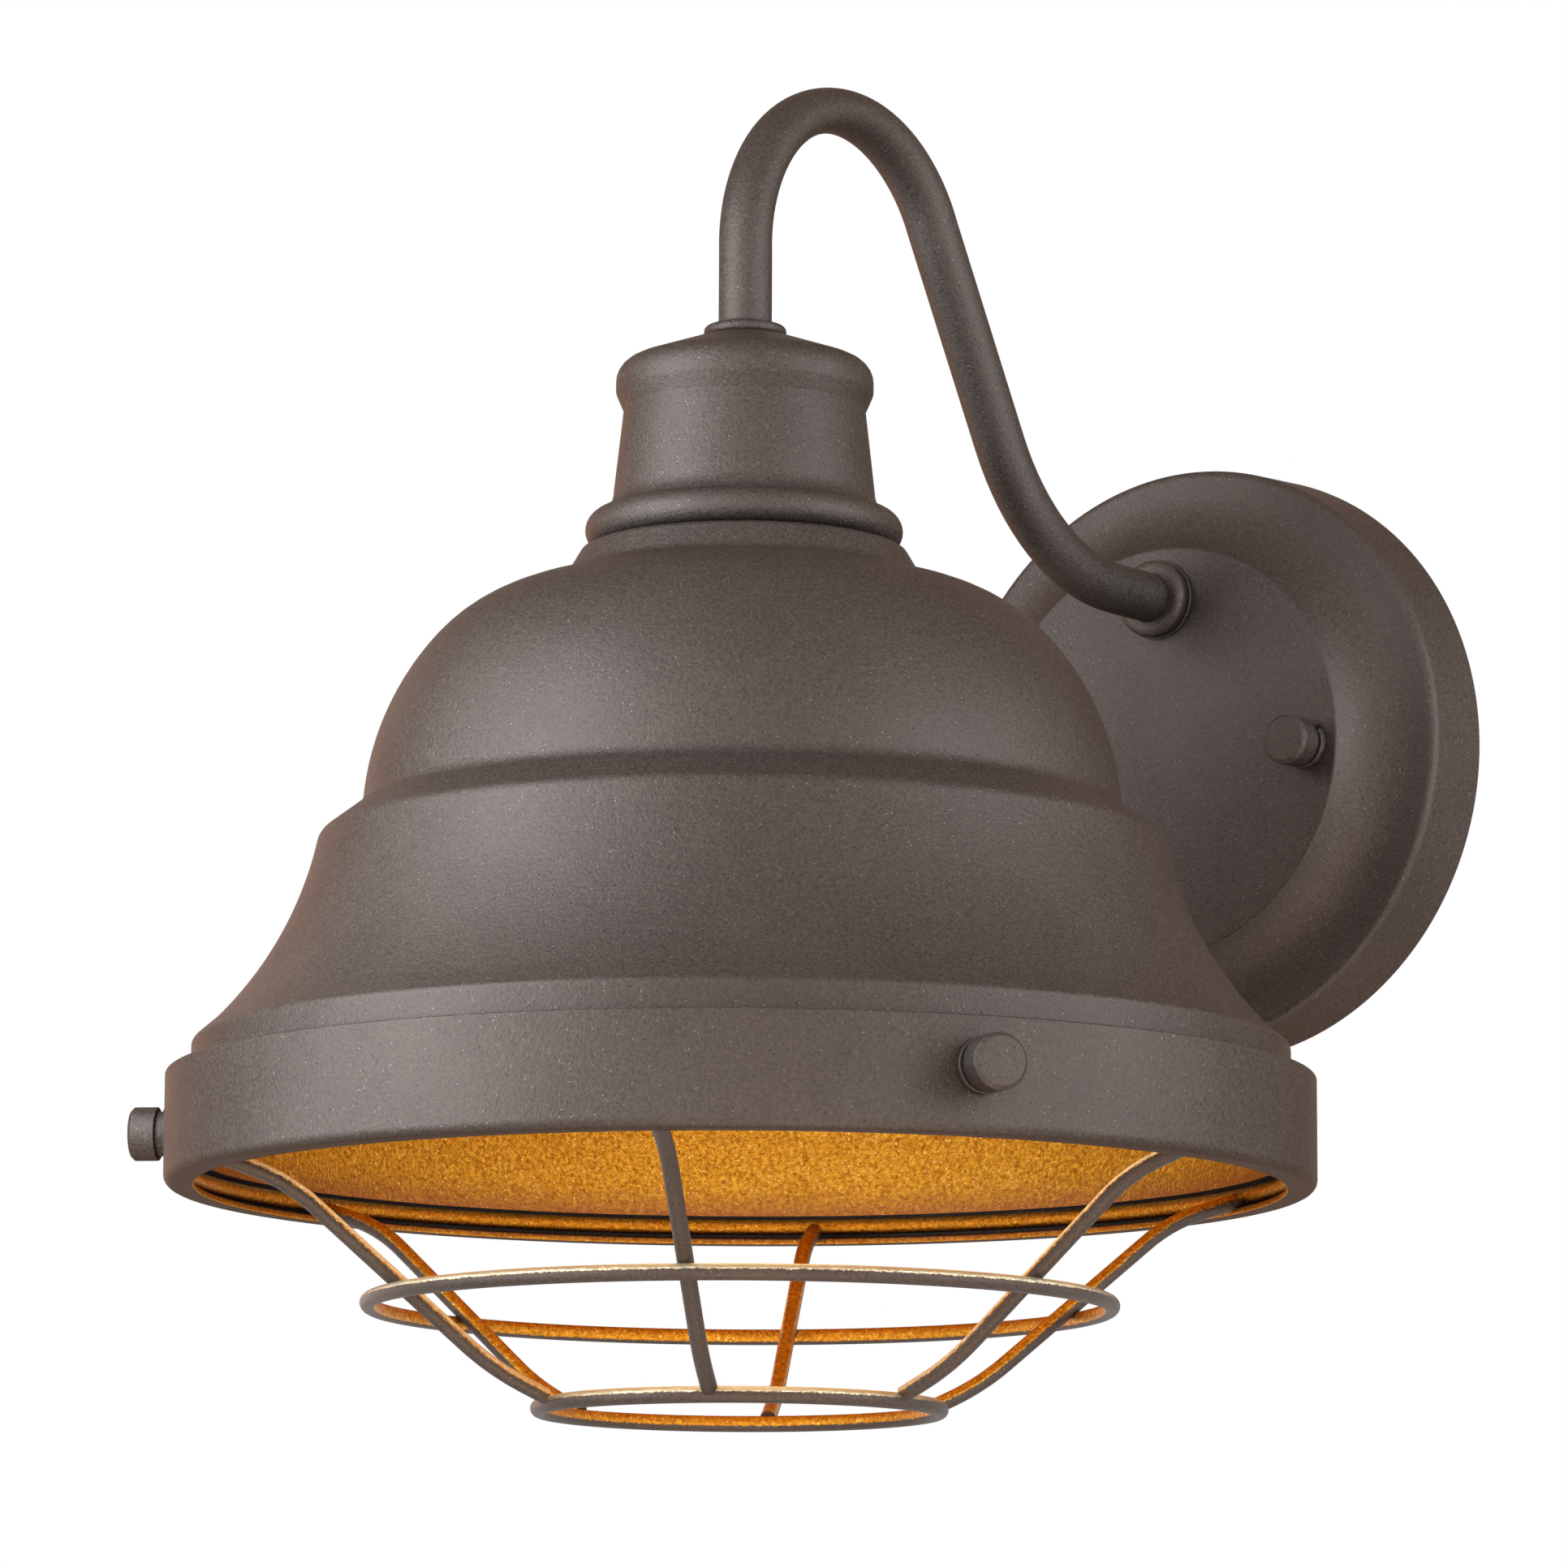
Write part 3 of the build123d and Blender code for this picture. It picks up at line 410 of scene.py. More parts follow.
def softened(corners, steps=5, support=0.2):
    """A profile with each corner given as (radius, height, round) rounded, and a point close to the
    ends of each round, which keeps the flats beside it flat in the light."""
    runs = []
    for number, corner in enumerate(corners):
        if len(corner) == 2:
            runs.append([corner])
            continue
        here = Vector(corner[:2])
        before = (Vector(corners[number - 1][:2]) - here).normalized()
        after = (Vector(corners[number + 1][:2]) - here).normalized()
        half = before.angle(after) / 2
        middle = here + (before + after).normalized() * corner[2] / math.sin(half)
        spoke = here + before * corner[2] / math.tan(half) - middle
        sweep = math.pi - 2 * half
        if before.cross(after) > 0:
            sweep = -sweep
        turns = [Matrix.Rotation(sweep * step / steps, 2) for step in range(steps + 1)]
        runs.append([tuple(middle + turn @ spoke) for turn in turns])
    line = list(runs[0])
    for before, after in zip(runs, runs[1:]):
        start, end = Vector(before[-1]), Vector(after[0])
        if (end - start).length > 3 * support:
            inset = (end - start).normalized() * support
            line += [tuple(start + inset)] * (len(before) > 1) + [tuple(end - inset)] * (len(after) > 1)
        line += after
    return line


wall_turn = (math.pi / 2, 0, 0)


def turned(name, profile, material, segments=64, place=(0, 0, 0), turn=wall_turn, cut=(), **sizes):
    """A piece spun from a profile in mm, along the wall's axis unless it is turned another way."""
    piece = line_piece(name, [(across * MM, 0, along * MM) for across, along in profile])
    depth = piece.data.attributes.new("cut", "FLOAT", "POINT")
    threaded = set(cut)
    for number, corner in enumerate(profile):
        depth.data[number].value = float(tuple(corner) in threaded)
    fitting = {"segments": segments, "place": Vector(place) * MM, "turn": turn, "material": material}
    return made_from(piece, lathe, lathe_inputs, {**fitting, **sizes})


rivet_radius, rivet_head = 5.2, 8.0
bar_rivet = turned(
    "bar_rivet.dressed",
    softened([
        (0, 0), (rivet_radius, 0, 0.3), (rivet_radius, bar_front), (rivet_head, bar_front, 0.2),
        (rivet_head - 0.1, bar_front + 0.6, 0.4), (5.0, bar_front + 0.95, 2), (0, bar_front + 1),
    ]),
    zinc,
)
ground_green = finish("green dyed plating", dark=(0.02, 0.13, 0.045), light=(0.05, 0.27, 0.09), grain=0.0008,
                      rough=(0.3, 0.45), metallic=0.6)
ground_radius, ground_head, ground_flat, ground_top = 2.1, 4.2, 3.637, 6.0
ground_screw = turned(
    "ground_screw.dressed",
    softened([
        (0, strap_gauge), (ground_radius, strap_gauge, 0.3), (ground_radius, bar_front),
        (ground_head, bar_front), (ground_head, 5.5), (3.5, ground_top), (0, ground_top),
    ]),
    ground_green, segments=72, place=(ground_x, 0, 0), flats=ground_flat * MM,
)
dress(bar_rivet, "zinc_steel")
dress(ground_screw, "ground_green")

# Studs and their lock nuts: two long machine screws stand out from the bar, heads behind it, each
# locked by a hex nut. Steel with rolled threads, zinc plated.


def thread_rows(radius, low, high, pitch, per_turn=8):
    """The rows of a profile along a thread."""
    count = round((high - low) / pitch * per_turn)
    return [(radius, low + (high - low) * step / count) for step in range(count + 1)]


def hex_nut(bore, low, high, bevelled, corner, bevel, mouth):
    """Closed profile of a nut with bevelled corners, whose bore opens to a mouth in front."""
    return [
        (bore, low), (bevelled, low), (corner, low + bevel), (corner, high - bevel), (bevelled, high),
        (mouth, high), (bore, high - bevel), (bore, low),
    ]


coarse_fold = math.radians(60)
stud_radius, stud_end, stud_pitch, stud_cut = 2.05, 34.7, 0.79375, 0.4
stud_head, stud_back, stud_tip = 3.8, 0.2, 1.6
stud_thread = thread_rows(stud_radius, 1.9, stud_end - 0.5, stud_pitch)
stud_profile = [
    *softened([
        (0, stud_back), (stud_head, stud_back, 0.4), (stud_head, strap_gauge), (stud_radius, strap_gauge),
    ]),
    *stud_thread, (stud_tip, stud_end), (0, stud_end),
]
stud_nut = hex_nut(stud_bore, bar_front, 6.4, bevelled=4.6, corner=5.03, bevel=0.3, mouth=2.5)
for side, x in (("left", -stud_x), ("right", stud_x)):
    stud = turned(f"plate_stud_{side}", stud_profile, zinc, segments=24, place=(x, 0, stud_z),
                  cut=stud_thread[2:-2], pitch=stud_pitch * MM, thread_depth=stud_cut * MM,
                  sharp_angle=coarse_fold)
    nut = turned(f"stud_nut_{side}", stud_nut, zinc, segments=72, place=(x, 0, stud_z), flats=4.35 * MM)
    dress(stud, "zinc_steel", "plate_studs")
    dress(nut, "zinc_steel", "stud_nuts")

# Gasket: a ring of black closed-cell foam, cut from sheet and stuck inside the plate's rim.
# The plate's nuts squeeze it against the wall, where it keeps the rain out.

foam = finish("closed cell foam", dark=(0.008, 0.008, 0.008), light=(0.035, 0.035, 0.036), grain=0.0011,
              rough=(0.75, 0.95), relief=0.00025, mottle=(0.006, 0.4), specular=0.2)
foam_inside, foam_outside, foam_depth, foam_edge = 62.7, 67.7, 3.0, 0.6
wall_gasket = turned(
    "wall_gasket.dressed",
    softened([
        (foam_inside, foam_depth / 2), (foam_inside, 0, foam_edge), (foam_outside, 0, foam_edge),
        (foam_outside, foam_depth, foam_edge), (foam_inside, foam_depth, foam_edge),
        (foam_inside, foam_depth / 2),
    ]),
    foam, segments=128,
)
dress(wall_gasket, "gasket_foam")

# Wall plate: a dish spun from sheet steel, with a raised face, a hollow cove and a rolled rim.
# It is powder coated in fine-textured dark bronze, and two nuts draw it to the wall.


def bow(start, end, radius, steps=24):
    """The points between two ends of an arc, whose centre is on the left for a positive radius."""
    start, end = Vector(start[:2]), Vector(end[:2])
    along = end - start
    left = Vector((-along.y, along.x)).normalized()
    lift = math.sqrt(max(radius**2 - along.length_squared / 4, 0))
    centre = (start + end) / 2 + left * math.copysign(lift, radius)
    sweep = math.copysign(2 * math.asin(min(along.length / 2 / abs(radius), 1)), radius)
    turns = [Matrix.Rotation(sweep * step / steps, 2) for step in range(1, steps)]
    return [tuple(centre + turn @ (start - centre)) for turn in turns]


def walled(corners, wall):
    """Closed profile of a sheet: its outer line with rounded corners, and the line of its inside."""
    line = [Vector(corner[:2]) for corner in corners]
    inside = []
    for number, here in enumerate(line):
        first = max(number - 1, 0)
        steps = [b - a for a, b in zip(line[first:], line[first + 1:number + 2])]
        sides = [Vector((-step.y, step.x)).normalized() for step in (steps[0], steps[-1])]
        inside.append(tuple(here + (sides[0] + sides[1]) * wall / (1 + sides[0].dot(sides[1]))))
    return softened(corners) + inside[::-1] + [tuple(line[0])]


def tidy_normals(mesh):
    """Turn every face outwards, smooth, and leave the sharp folds sharp."""
    shape = bmesh.new()
    shape.from_mesh(mesh)
    bmesh.ops.recalc_face_normals(shape, faces=shape.faces[:])
    for face in shape.faces:
        face.smooth = True
    for line in shape.edges:
        line.smooth = line.calc_face_angle(0) < sharp_fold
    shape.to_mesh(mesh)
    shape.free()


def bored(piece, holes, low, high, segments):
    """Drill holes through a piece, each given as a radius, a place and a turn."""
    cutters = []
    for radius, place, turn in holes:
        drill = [(0, low), (radius, low), (radius, high), (0, high)]
        cutters.append(turned("cutter", drill, bronze, segments=segments, place=place, turn=turn))
    for cutter in cutters:
        hole = piece.modifiers.new("hole", "BOOLEAN")
        hole.object, hole.solver = cutter, "EXACT"
    plain_mesh(piece)
    for cutter in cutters:
        bpy.data.meshes.remove(cutter.data)
    tidy_normals(piece.data)


bronze_dark, bronze_light = (0.0565, 0.0424, 0.0368), (0.109, 0.0818, 0.0709)
bronze_flecks = (0.025, (0.19, 0.165, 0.145), (0.030, 0.023, 0.019))
bronze_look = {
    "grain": 0.00045, "rough": (0.48, 0.64), "relief": 0.00007, "flecks": bronze_flecks, "metallic": 0.9,
    "specular": 0.3, "edge_tint": (0.5, 0.38, 0.32),
}
bronze = finish("bronze powder coat", bronze_dark, bronze_light, **bronze_look)
rim_radius, ledge_edge, ledge_radius, ledge_depth, ledge_round = 69.1, 68.2, 63.5, 18.1, 1.8
face_radius, face_depth, face_round, cove_radius, plate_wall = 48.2, 28.5, 0.8, 16.454, 1.2
plate_line = [
    (rim_radius, 0), (ledge_edge, ledge_depth, ledge_round), (ledge_radius, ledge_depth),
    *bow((ledge_radius, ledge_depth), (face_radius, face_depth), -cove_radius),
    (face_radius, face_depth, face_round), (0, face_depth),
]
wall_plate = turned("wall_plate.dressed", walled(plate_line, plate_wall), bronze, segments=160)
arm_rise, nipple_hole, stud_hole = 36.0, 5.05, 2.35
plate_holes = [(nipple_hole, 0, arm_rise), (stud_hole, -stud_x, stud_z), (stud_hole, stud_x, stud_z)]
plate_holes = [(radius, (x, 0, z), wall_turn) for radius, x, z in plate_holes]
bored(wall_plate, plate_holes, low=20, high=40, segments=48)
dress(wall_plate, "bronze_coat")

# Plate nuts: closed round nuts turned from bar, each over a split spring washer, coated like the plate.
# They run along the studs as they are turned.

neck_radius, neck_length, head_radius, head_length, head_bevel = 4.8, 1.4, 5.75, 5.9, 0.8
head_back_round, head_round = 0.3, 0.35
washer_gauge, washer_twist, washer_split, washer_edge = 1.65, 0.55, math.radians(16), 0.2


def knob_head(base):
    """Profile of a turned head from its neck outwards, base being the washer's front."""
    back = base + neck_length
    front = back + head_length
    return softened([
        (neck_radius, base), (neck_radius, back), (head_radius, back, head_back_round),
        (head_radius, front - head_bevel, head_round), (head_radius - head_bevel, front, head_round),
        (0, front),
    ])


def spring_washer(name, bore, seat, split_at, place, turn, steps=72):
    """A split washer of coiled square wire: one end stands off by the twist."""
    inset = head_radius - washer_edge
    section = [
        (bore, 0), (inset, 0), (head_radius, washer_edge), (head_radius, washer_gauge - washer_edge),
        (inset, washer_gauge), (bore, washer_gauge),
    ]
    lean = Matrix.Translation(Vector(place) * MM) @ Euler(turn).to_matrix().to_4x4()
    corners, faces = [], []
    for step in range(steps + 1):
        angle = split_at + washer_split / 2 + (math.tau - washer_split) * step / steps
        lift = seat + washer_twist * step / steps
        corners += [
            lean @ (Vector((across * math.cos(angle), across * math.sin(angle), along + lift)) * MM)
            for across, along in section
        ]
    count = len(section)
    for step in range(steps):
        near, far = step * count, (step + 1) * count
        for side in range(count):
            following = (side + 1) % count
            faces.append((near + side, far + side, far + following, near + following))
    faces += [tuple(range(count)), tuple(range((steps + 1) * count - 1, steps * count - 1, -1))]
    mesh = bpy.data.meshes.new(name)
    mesh.from_pydata(corners, [], faces)
    tidy_normals(mesh)
    return new_piece(name, mesh, bronze)


thread_gap, nut_closed_end, nut_split = 0.05, 1.2, math.radians(38)
nut_base = face_depth + washer_gauge + washer_twist
nut_bore, nut_end = stud_radius + thread_gap, nut_base + neck_length + head_length - nut_closed_end
nut_profile = [(0, nut_end), (nut_bore, nut_end), (nut_bore, nut_base), *knob_head(nut_base)]
for side, x in (("left", -stud_x), ("right", stud_x)):
    place = (x, 0, stud_z)
    washer = spring_washer(f"nut_washer_{side}.dressed", nut_bore, face_depth, nut_split, place, wall_turn)
    nut = turned(f"plate_nut_{side}.dressed", nut_profile, bronze, place=place)
    dress(washer, "bronze_coat", body=f"nut_washer_{side}")
    dress(nut, "bronze_coat", body=f"plate_nut_{side}")

# Arm: one length of thin steel tube, bent cold into a gooseneck, which flattens a little round the arch.
# It stands on the plate's face and carries the neck cap at its end.

bent_tube, given, tube_inputs = new_group(
    "bent tube", "GeometryNodeTree",
    {"Piece": "Geometry"},
    {
        "Route": ("Geometry", None),
        "Segments": ("Int", 48),
        "Material": ("Material", None),
    },
)
sheet, row, angle = rolled_sheet(bent_tube, given["Route"], given["Segments"])
middle = sampled(bent_tube, given["Route"], row, "FLOAT_VECTOR")
outwards = sampled(bent_tube, given["Route"], row, "FLOAT_VECTOR", "bend_side")
half_width = sampled(bent_tube, given["Route"], row, "FLOAT", "half_width")
rise = {0: outwards, "Scale": reckon(bent_tube, "SINE", angle)}
spoke = add_node(bent_tube, "ShaderNodeVectorMath", rise, operation="SCALE").outputs[0]
sideways = reckon(bent_tube, "MULTIPLY", half_width, reckon(bent_tube, "COSINE", angle))
breadth = add_node(bent_tube, "ShaderNodeCombineXYZ", {"X": sideways}).outputs[0]
spoke = vector_step(bent_tube, "ADD", spoke, breadth)
piece = rolled_up(bent_tube, sheet, vector_step(bent_tube, "ADD", spoke, middle))
put_out(bent_tube, shaded(bent_tube, piece), given["Material"])

tube_radius, tube_wall = 5.75, 0.7
foot_depth, foot_straight, climb_radius, climb_angle = 29.3, 18.4, 53.4, math.radians(59.4)
arm_straight, arch_radius, arm_leg = 52.1, 37.5, 19.5
arch_angle = climb_angle + math.pi / 2
arch_flattening, flattening_onset, flattening_bulge = 0.125, 0.7, 0.6
arm_stations = []
here, heading = Vector((foot_depth, arm_rise)), 0.0
for length, bend, count in (
    (foot_straight, 0, 3), (climb_radius * climb_angle, climb_angle, 16), (arm_straight, 0, 6),
    (arch_radius * arch_angle, -arch_angle, 44), (arm_leg, 0, 4),
):
    for step in range(count):
        share = step / count
        squeeze = arch_flattening * math.sin(math.pi * share) ** flattening_onset if bend < 0 else 0.0
        arm_stations.append((here.copy(), heading, squeeze))
        if bend:
            chord = 2 * length / abs(bend) * math.sin(abs(bend) / count / 2)
            heading += bend / count / 2
            here += Vector((math.cos(heading), math.sin(heading))) * chord
            heading += bend / count / 2
        else:
            here += Vector((math.cos(heading), math.sin(heading))) * length / count
arm_stations.append((here.copy(), heading, 0.0))
route_points, bend_sides, half_widths = [], [], []
for radius, stations in (
    (tube_radius, arm_stations), (tube_radius - tube_wall, arm_stations[::-1]),
    (tube_radius, arm_stations[:1]),
):
    for place, heading, squeeze in stations:
        outer_side = Vector((0, math.sin(heading), math.cos(heading)))
        route_points.append((Vector((0, -place.x, place.y)) + outer_side * tube_radius * squeeze) * MM)
        bend_sides.extend(outer_side * radius * (1 - squeeze) * MM)
        half_widths.append(radius * (1 + squeeze * flattening_bulge) * MM)
arm_tube = line_piece("arm_tube.dressed", route_points)
carried = arm_tube.data.attributes
carried.new("bend_side", "FLOAT_VECTOR", "POINT").data.foreach_set("vector", bend_sides)
carried.new("half_width", "FLOAT", "POINT").data.foreach_set("value", half_widths)
made_from(arm_tube, bent_tube, tube_inputs, {"segments": 56, "material": bronze})
dress(arm_tube, "bronze_coat")

# Fixing of the arm's foot: a threaded steel nipple, lock washer and hex nut behind the plate, and in
# front of it a thin washer under a rounded collar, both coated like the arm.


def washer_profile(bore, low, high, outside, edge):
    """Closed profile of a flat washer with broken edges."""
    return softened([(bore, low), (outside, low, edge), (outside, high, edge), (bore, high), (bore, low)])


at_foot = partial(turned, place=(0, 0, arm_rise))
nipple_radius, nipple_bore, nipple_pitch, nipple_cut = 5.0, 3.7, 0.94, 0.45
nipple_back, nut_back, nut_front, plate_inside, nipple_front = 18.8, 22.3, 26.3, 27.3, 41.3
nipple_rows = thread_rows(nipple_radius, nipple_back, nipple_front, nipple_pitch)
foot_nipple = at_foot(
    "foot_nipple.dressed",
    [(nipple_bore, nipple_back), *nipple_rows, (nipple_bore, nipple_front), (nipple_bore, nipple_back)],
    zinc, segments=40, cut=nipple_rows[2:-2], pitch=nipple_pitch * MM, thread_depth=nipple_cut * MM,
    sharp_angle=coarse_fold,
)
foot_lock_nut = at_foot(
    "foot_lock_nut.dressed",
    hex_nut(nipple_hole, nut_back, nut_front, bevelled=7.9, corner=8.67, bevel=0.5, mouth=5.5),
    zinc, segments=72, flats=7.5 * MM,
)
lock_radius = 8.5
foot_lock_washer = at_foot(
    "foot_lock_washer.dressed", washer_profile(nipple_hole, nut_front, plate_inside, lock_radius, 0.2),
    zinc, segments=96, notches=16, notch_rim=lock_radius * MM, notch_radius=0.55 * MM,
)
foot_washer = at_foot(
    "foot_washer.dressed", washer_profile(nipple_hole, face_depth, foot_depth, 9.3, 0.25), bronze,
    segments=72,
)
collar_bore, collar_radius, collar_front = tube_radius + thread_gap, 9.0, 33.1
foot_collar = at_foot(
    "foot_collar.dressed",
    softened([
        (collar_bore, foot_depth), (collar_radius, foot_depth, 1.2), (collar_radius, collar_front, 1.9),
        (collar_bore, collar_front), (collar_bore, foot_depth),
    ]),
    bronze, segments=72,
)
for piece in (foot_nipple, foot_lock_nut, foot_lock_washer):
    dress(piece, "zinc_steel")
for piece in (foot_washer, foot_collar):
    dress(piece, "bronze_coat")

# Leads and wire connectors: a black and a white insulated lead run up the arm to the lamp holder, and
# end behind the plate in fluted orange screw-on connectors.


def repaint(node, material):
    """Give a CAD node that stays its finish."""
    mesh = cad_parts[node].data
    mesh.materials.clear()
    mesh.materials.append(material)


for node, name, dark, light in (
    ("line_lead", "black insulation", (0.012, 0.012, 0.012), (0.03, 0.03, 0.03)),
    ("neutral_lead", "white insulation", (0.62, 0.62, 0.58), (0.8, 0.8, 0.77)),
):
    repaint(node, finish(name, dark, light, grain=0.0012, rough=(0.4, 0.5)))
connector_orange = finish("moulded orange plastic", dark=(0.6, 0.17, 0.02), light=(0.8, 0.27, 0.035),
                          grain=0.0015, rough=(0.38, 0.48), relief=0.00002)
upright = (0, 0, 0)
connector_length, connector_tip, connector_mouth = 15.0, 2.6, 3.4
connector_bore, connector_floor, connector_low = 1.15, 7, 12.0
connector_flare = (connector_mouth - connector_tip) / connector_length
flute_rows = [
    (connector_tip + connector_flare * along, along)
    for _, along in thread_rows(connector_tip, low=1.6, high=11.0, pitch=1.0, per_turn=1)
]
connector_profile = softened([
    (0, 0), (connector_tip, 0, 0.8), *flute_rows, (3.23, 11.6), (connector_mouth, 12.2),
    (connector_mouth, connector_length, 0.4), (connector_bore, connector_length),
    (connector_bore, connector_floor), (0, connector_floor),
])
for lead, x, depth in (("line", -2.4, 15.6), ("neutral", 2.4, 8.2)):
    connector = turned(
        f"{lead}_connector.dressed", connector_profile, connector_orange, segments=96,
        place=(x, -depth, connector_low), turn=upright, cut=flute_rows, flutes=12, flute_depth=0.5 * MM,
    )
    dress(connector, "connector_plastic")

# Neck cap: a bell spun from sheet steel with a rolled bead at its foot, bronze coated, and a rounded
# washer on its top. A nipple in the arm's end and a hex nut inside hold it up.

band_low, band_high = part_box("rim_band")
shade_axis = Vector((0, (band_low.y + band_high.y) / 2, band_low.z)) / MM
on_axis = partial(turned, place=shade_axis, turn=upright)
cap_top, cap_washer_top, cap_wall = 184.6, 187.2, 1.2
cap_inner_top = cap_top - cap_wall
cap_washer = on_axis(
    "cap_washer.dressed", washer_profile(collar_bore, cap_top, cap_washer_top, 8.9, 1.2), bronze, segments=72
)
step_top, bead_radius, bead_ring, bead_inside = 138.0, 4.05, 30.05, 27.65
bead_low, bead_high = (bead_ring, step_top), (bead_ring, step_top + 2 * bead_radius)
cap_foot, cap_waist, cap_shoulder, cap_flat = (28.05, 150.6), (26.05, 168.4), 27.75, 9.6
cap_line = [
    (bead_inside, step_top), bead_low, *bow(bead_low, bead_high, bead_radius, 16), bead_high,
    *bow(bead_high, cap_foot, -6, 6), cap_foot, (*cap_waist, 0.8), (cap_shoulder, 172.4, 3.0),
    (cap_shoulder, 178.2, 5.0), (cap_flat, cap_top), (nipple_hole, cap_top),
]
cap_inside = [
    (nipple_hole, cap_inner_top), (cap_flat, cap_inner_top), (24.85, 178.02),
    (cap_waist[0] - cap_wall, cap_waist[1]), (cap_foot[0] - cap_wall, cap_foot[1]),
    (bead_inside, bead_high[1]), (bead_inside, step_top),
]
neck_cap = on_axis("neck_cap.dressed", softened(cap_line) + cap_inside, bronze, segments=128)
for piece in (cap_washer, neck_cap):
    dress(piece, "bronze_coat")
for node in ("cap_nipple", "cap_lock_nut"):
    repaint(node, zinc)

# Lamp holder: black moulded phenolic in two halves, with a brass screw shell and centre contact, and
# a coarse thread outside its skirt. A notched ring runs up that thread and clamps the shade.

phenolic = finish("black moulded phenolic", dark=(0.010, 0.009, 0.008), light=(0.030, 0.026, 0.022),
                  grain=0.0014, rough=(0.22, 0.34), mottle=(0.006, 0.6))
brass = finish("drawn brass", dark=(0.55, 0.36, 0.11), light=(0.80, 0.58, 0.24), grain=0.0012,
               rough=(0.22, 0.36), mottle=(0.006, 0.8), metallic=1.0)
holder_radius, holder_bore, spigot_radius = 19.8, 13.95, 18.15
holder_low, holder_roof, holder_joint, spigot_top = 131.5, 155.0, 158.0, 163.0
skirt_pitch, skirt_cut = 2.8, 0.7
skirt_rows = thread_rows(holder_radius, holder_low + 0.8, holder_joint - 6, skirt_pitch, 10)
body_profile = [
    (holder_bore, holder_roof), (holder_bore, holder_low + 0.6), (14.6, holder_low), (19.2, holder_low),
    *skirt_rows, (holder_radius, holder_joint), (spigot_radius, holder_joint), (spigot_radius, spigot_top),
    (0, spigot_top), (0, holder_roof), (holder_bore, holder_roof),
]
holder_body = on_axis("holder_body.dressed", body_profile, phenolic, segments=96, cut=skirt_rows[3:-3],
                      pitch=skirt_pitch * MM, thread_depth=skirt_cut * MM, sharp_angle=math.radians(50))
lid_bore, lid_roof, lid_top, hub_radius, hub_top = 18.2, 168.4, 170.0, 8.0, 178.0
lid_profile = softened([
    (lid_bore, holder_joint), (holder_radius, holder_joint, 0.2), (holder_radius, lid_top, 1.2),
    (hub_radius, lid_top), (hub_radius, hub_top, 0.5), (nipple_hole, hub_top), (nipple_hole, lid_roof),
    (lid_bore, lid_roof), (lid_bore, holder_joint),
])
holder_cap = on_axis("holder_cap.dressed", lid_profile, phenolic, segments=96)
lamp_pitch, lamp_cut, shell_low, shell_high = 3.62, 0.9, 135.0, 153.0
shell_outside, shell_inside, shell_gauge = 13.9, 13.4, 0.45
shell_rows = thread_rows(13.85, shell_low + 1.0, shell_high - 0.6, lamp_pitch, 12)
shell_inner = [(radius - shell_gauge, along) for radius, along in shell_rows[::-1]]
shell_profile = [
    (shell_outside, shell_low), *shell_rows, (shell_outside, shell_high), (shell_inside, shell_high),
    *shell_inner, (shell_inside, shell_low), (shell_outside, shell_low),
]
screw_shell = on_axis("screw_shell.dressed", shell_profile, brass, segments=96, pitch=lamp_pitch * MM,
                      thread_depth=lamp_cut * MM, cut=shell_rows[2:-2] + shell_inner[2:-2])
contact_radius = 4.0
centre_contact = on_axis(
    "centre_contact.dressed",
    softened([
        (0, 153.4), (2.2, 153.45, 1.5), (3.6, 154.2, 0.5), (contact_radius, 154.6, 0.2),
        (contact_radius, holder_roof), (0, holder_roof),
    ]),
    brass, segments=40,
)
ring_bore, ring_radius, ring_low, ring_high = 19.85, 27, step_top - 5.0, step_top - 1.0
shade_ring = on_axis(
    "shade_ring.dressed", washer_profile(ring_bore, ring_low, ring_high, ring_radius, 0.5), phenolic,
    segments=288, notches=12, notch_rim=ring_radius * MM, notch_radius=1.5 * MM,
)
for piece, slot in (
    (holder_body, "holder_phenolic"), (holder_cap, "holder_phenolic"), (screw_shell, "socket_brass"),
    (centre_contact, "socket_brass"), (shade_ring, "holder_phenolic"),
):
    dress(piece, slot)
repaint("holder_terminals", brass)

# Shade: a stepped dome over a flared skirt, spun from steel sheet and bronze coated outside.
# Gold paint is sprayed up into it from inside, with the cage on, so its edges are speckled.

gold_spray, given, _ = new_group(
    "gold overspray", "ShaderNodeTree",
    {"Gold": "Float", "Reached": "Float", "Painted Highlight": "Float"},
    {
        "Gun": ("Vector", (0, 0, 0)),
        "Edge": ("Float", 0.0),
        "Softness": ("Float", 0.25),
        "Speckle": ("Float", 0.6),
        "Bare Height": ("Float", -2.0),
        "Gold Height": ("Float", -1.9),
        "Ragged": ("Float", 0.0),
    },
)
drop_scale = 1100.0
highlight_slopes, highlight_depths = (0.22, 0.42), (0.05, 0.4)  # how far up a face looks, and how far to the camera's side, for the painted highlight
highlight_side = (-0.593, 0.805, 0)  # to the cage's middle from the side that the photograph is taken from
spray_sum = partial(reckon, gold_spray)
place = add_node(gold_spray, "ShaderNodeTexCoord").outputs
towards = vector_step(gold_spray, "SUBTRACT", given["Gun"], place["Object"])
towards = vector_step(gold_spray, "NORMALIZE", towards)
drops = spray_sum("SUBTRACT", noise(gold_spray, place["Object"], drop_scale, 3.0, 0.7), 0.5)
facing = vector_step(gold_spray, "DOT_PRODUCT", towards, place["Normal"])
reach = spray_sum("MULTIPLY_ADD", drops, given["Speckle"], facing)
full_gold = spray_sum("ADD", given["Edge"], given["Softness"])
height = add_node(gold_spray, "ShaderNodeSeparateXYZ", {0: place["Object"]}).outputs["Z"]
height = spray_sum("MULTIPLY_ADD", drops, given["Ragged"], height)
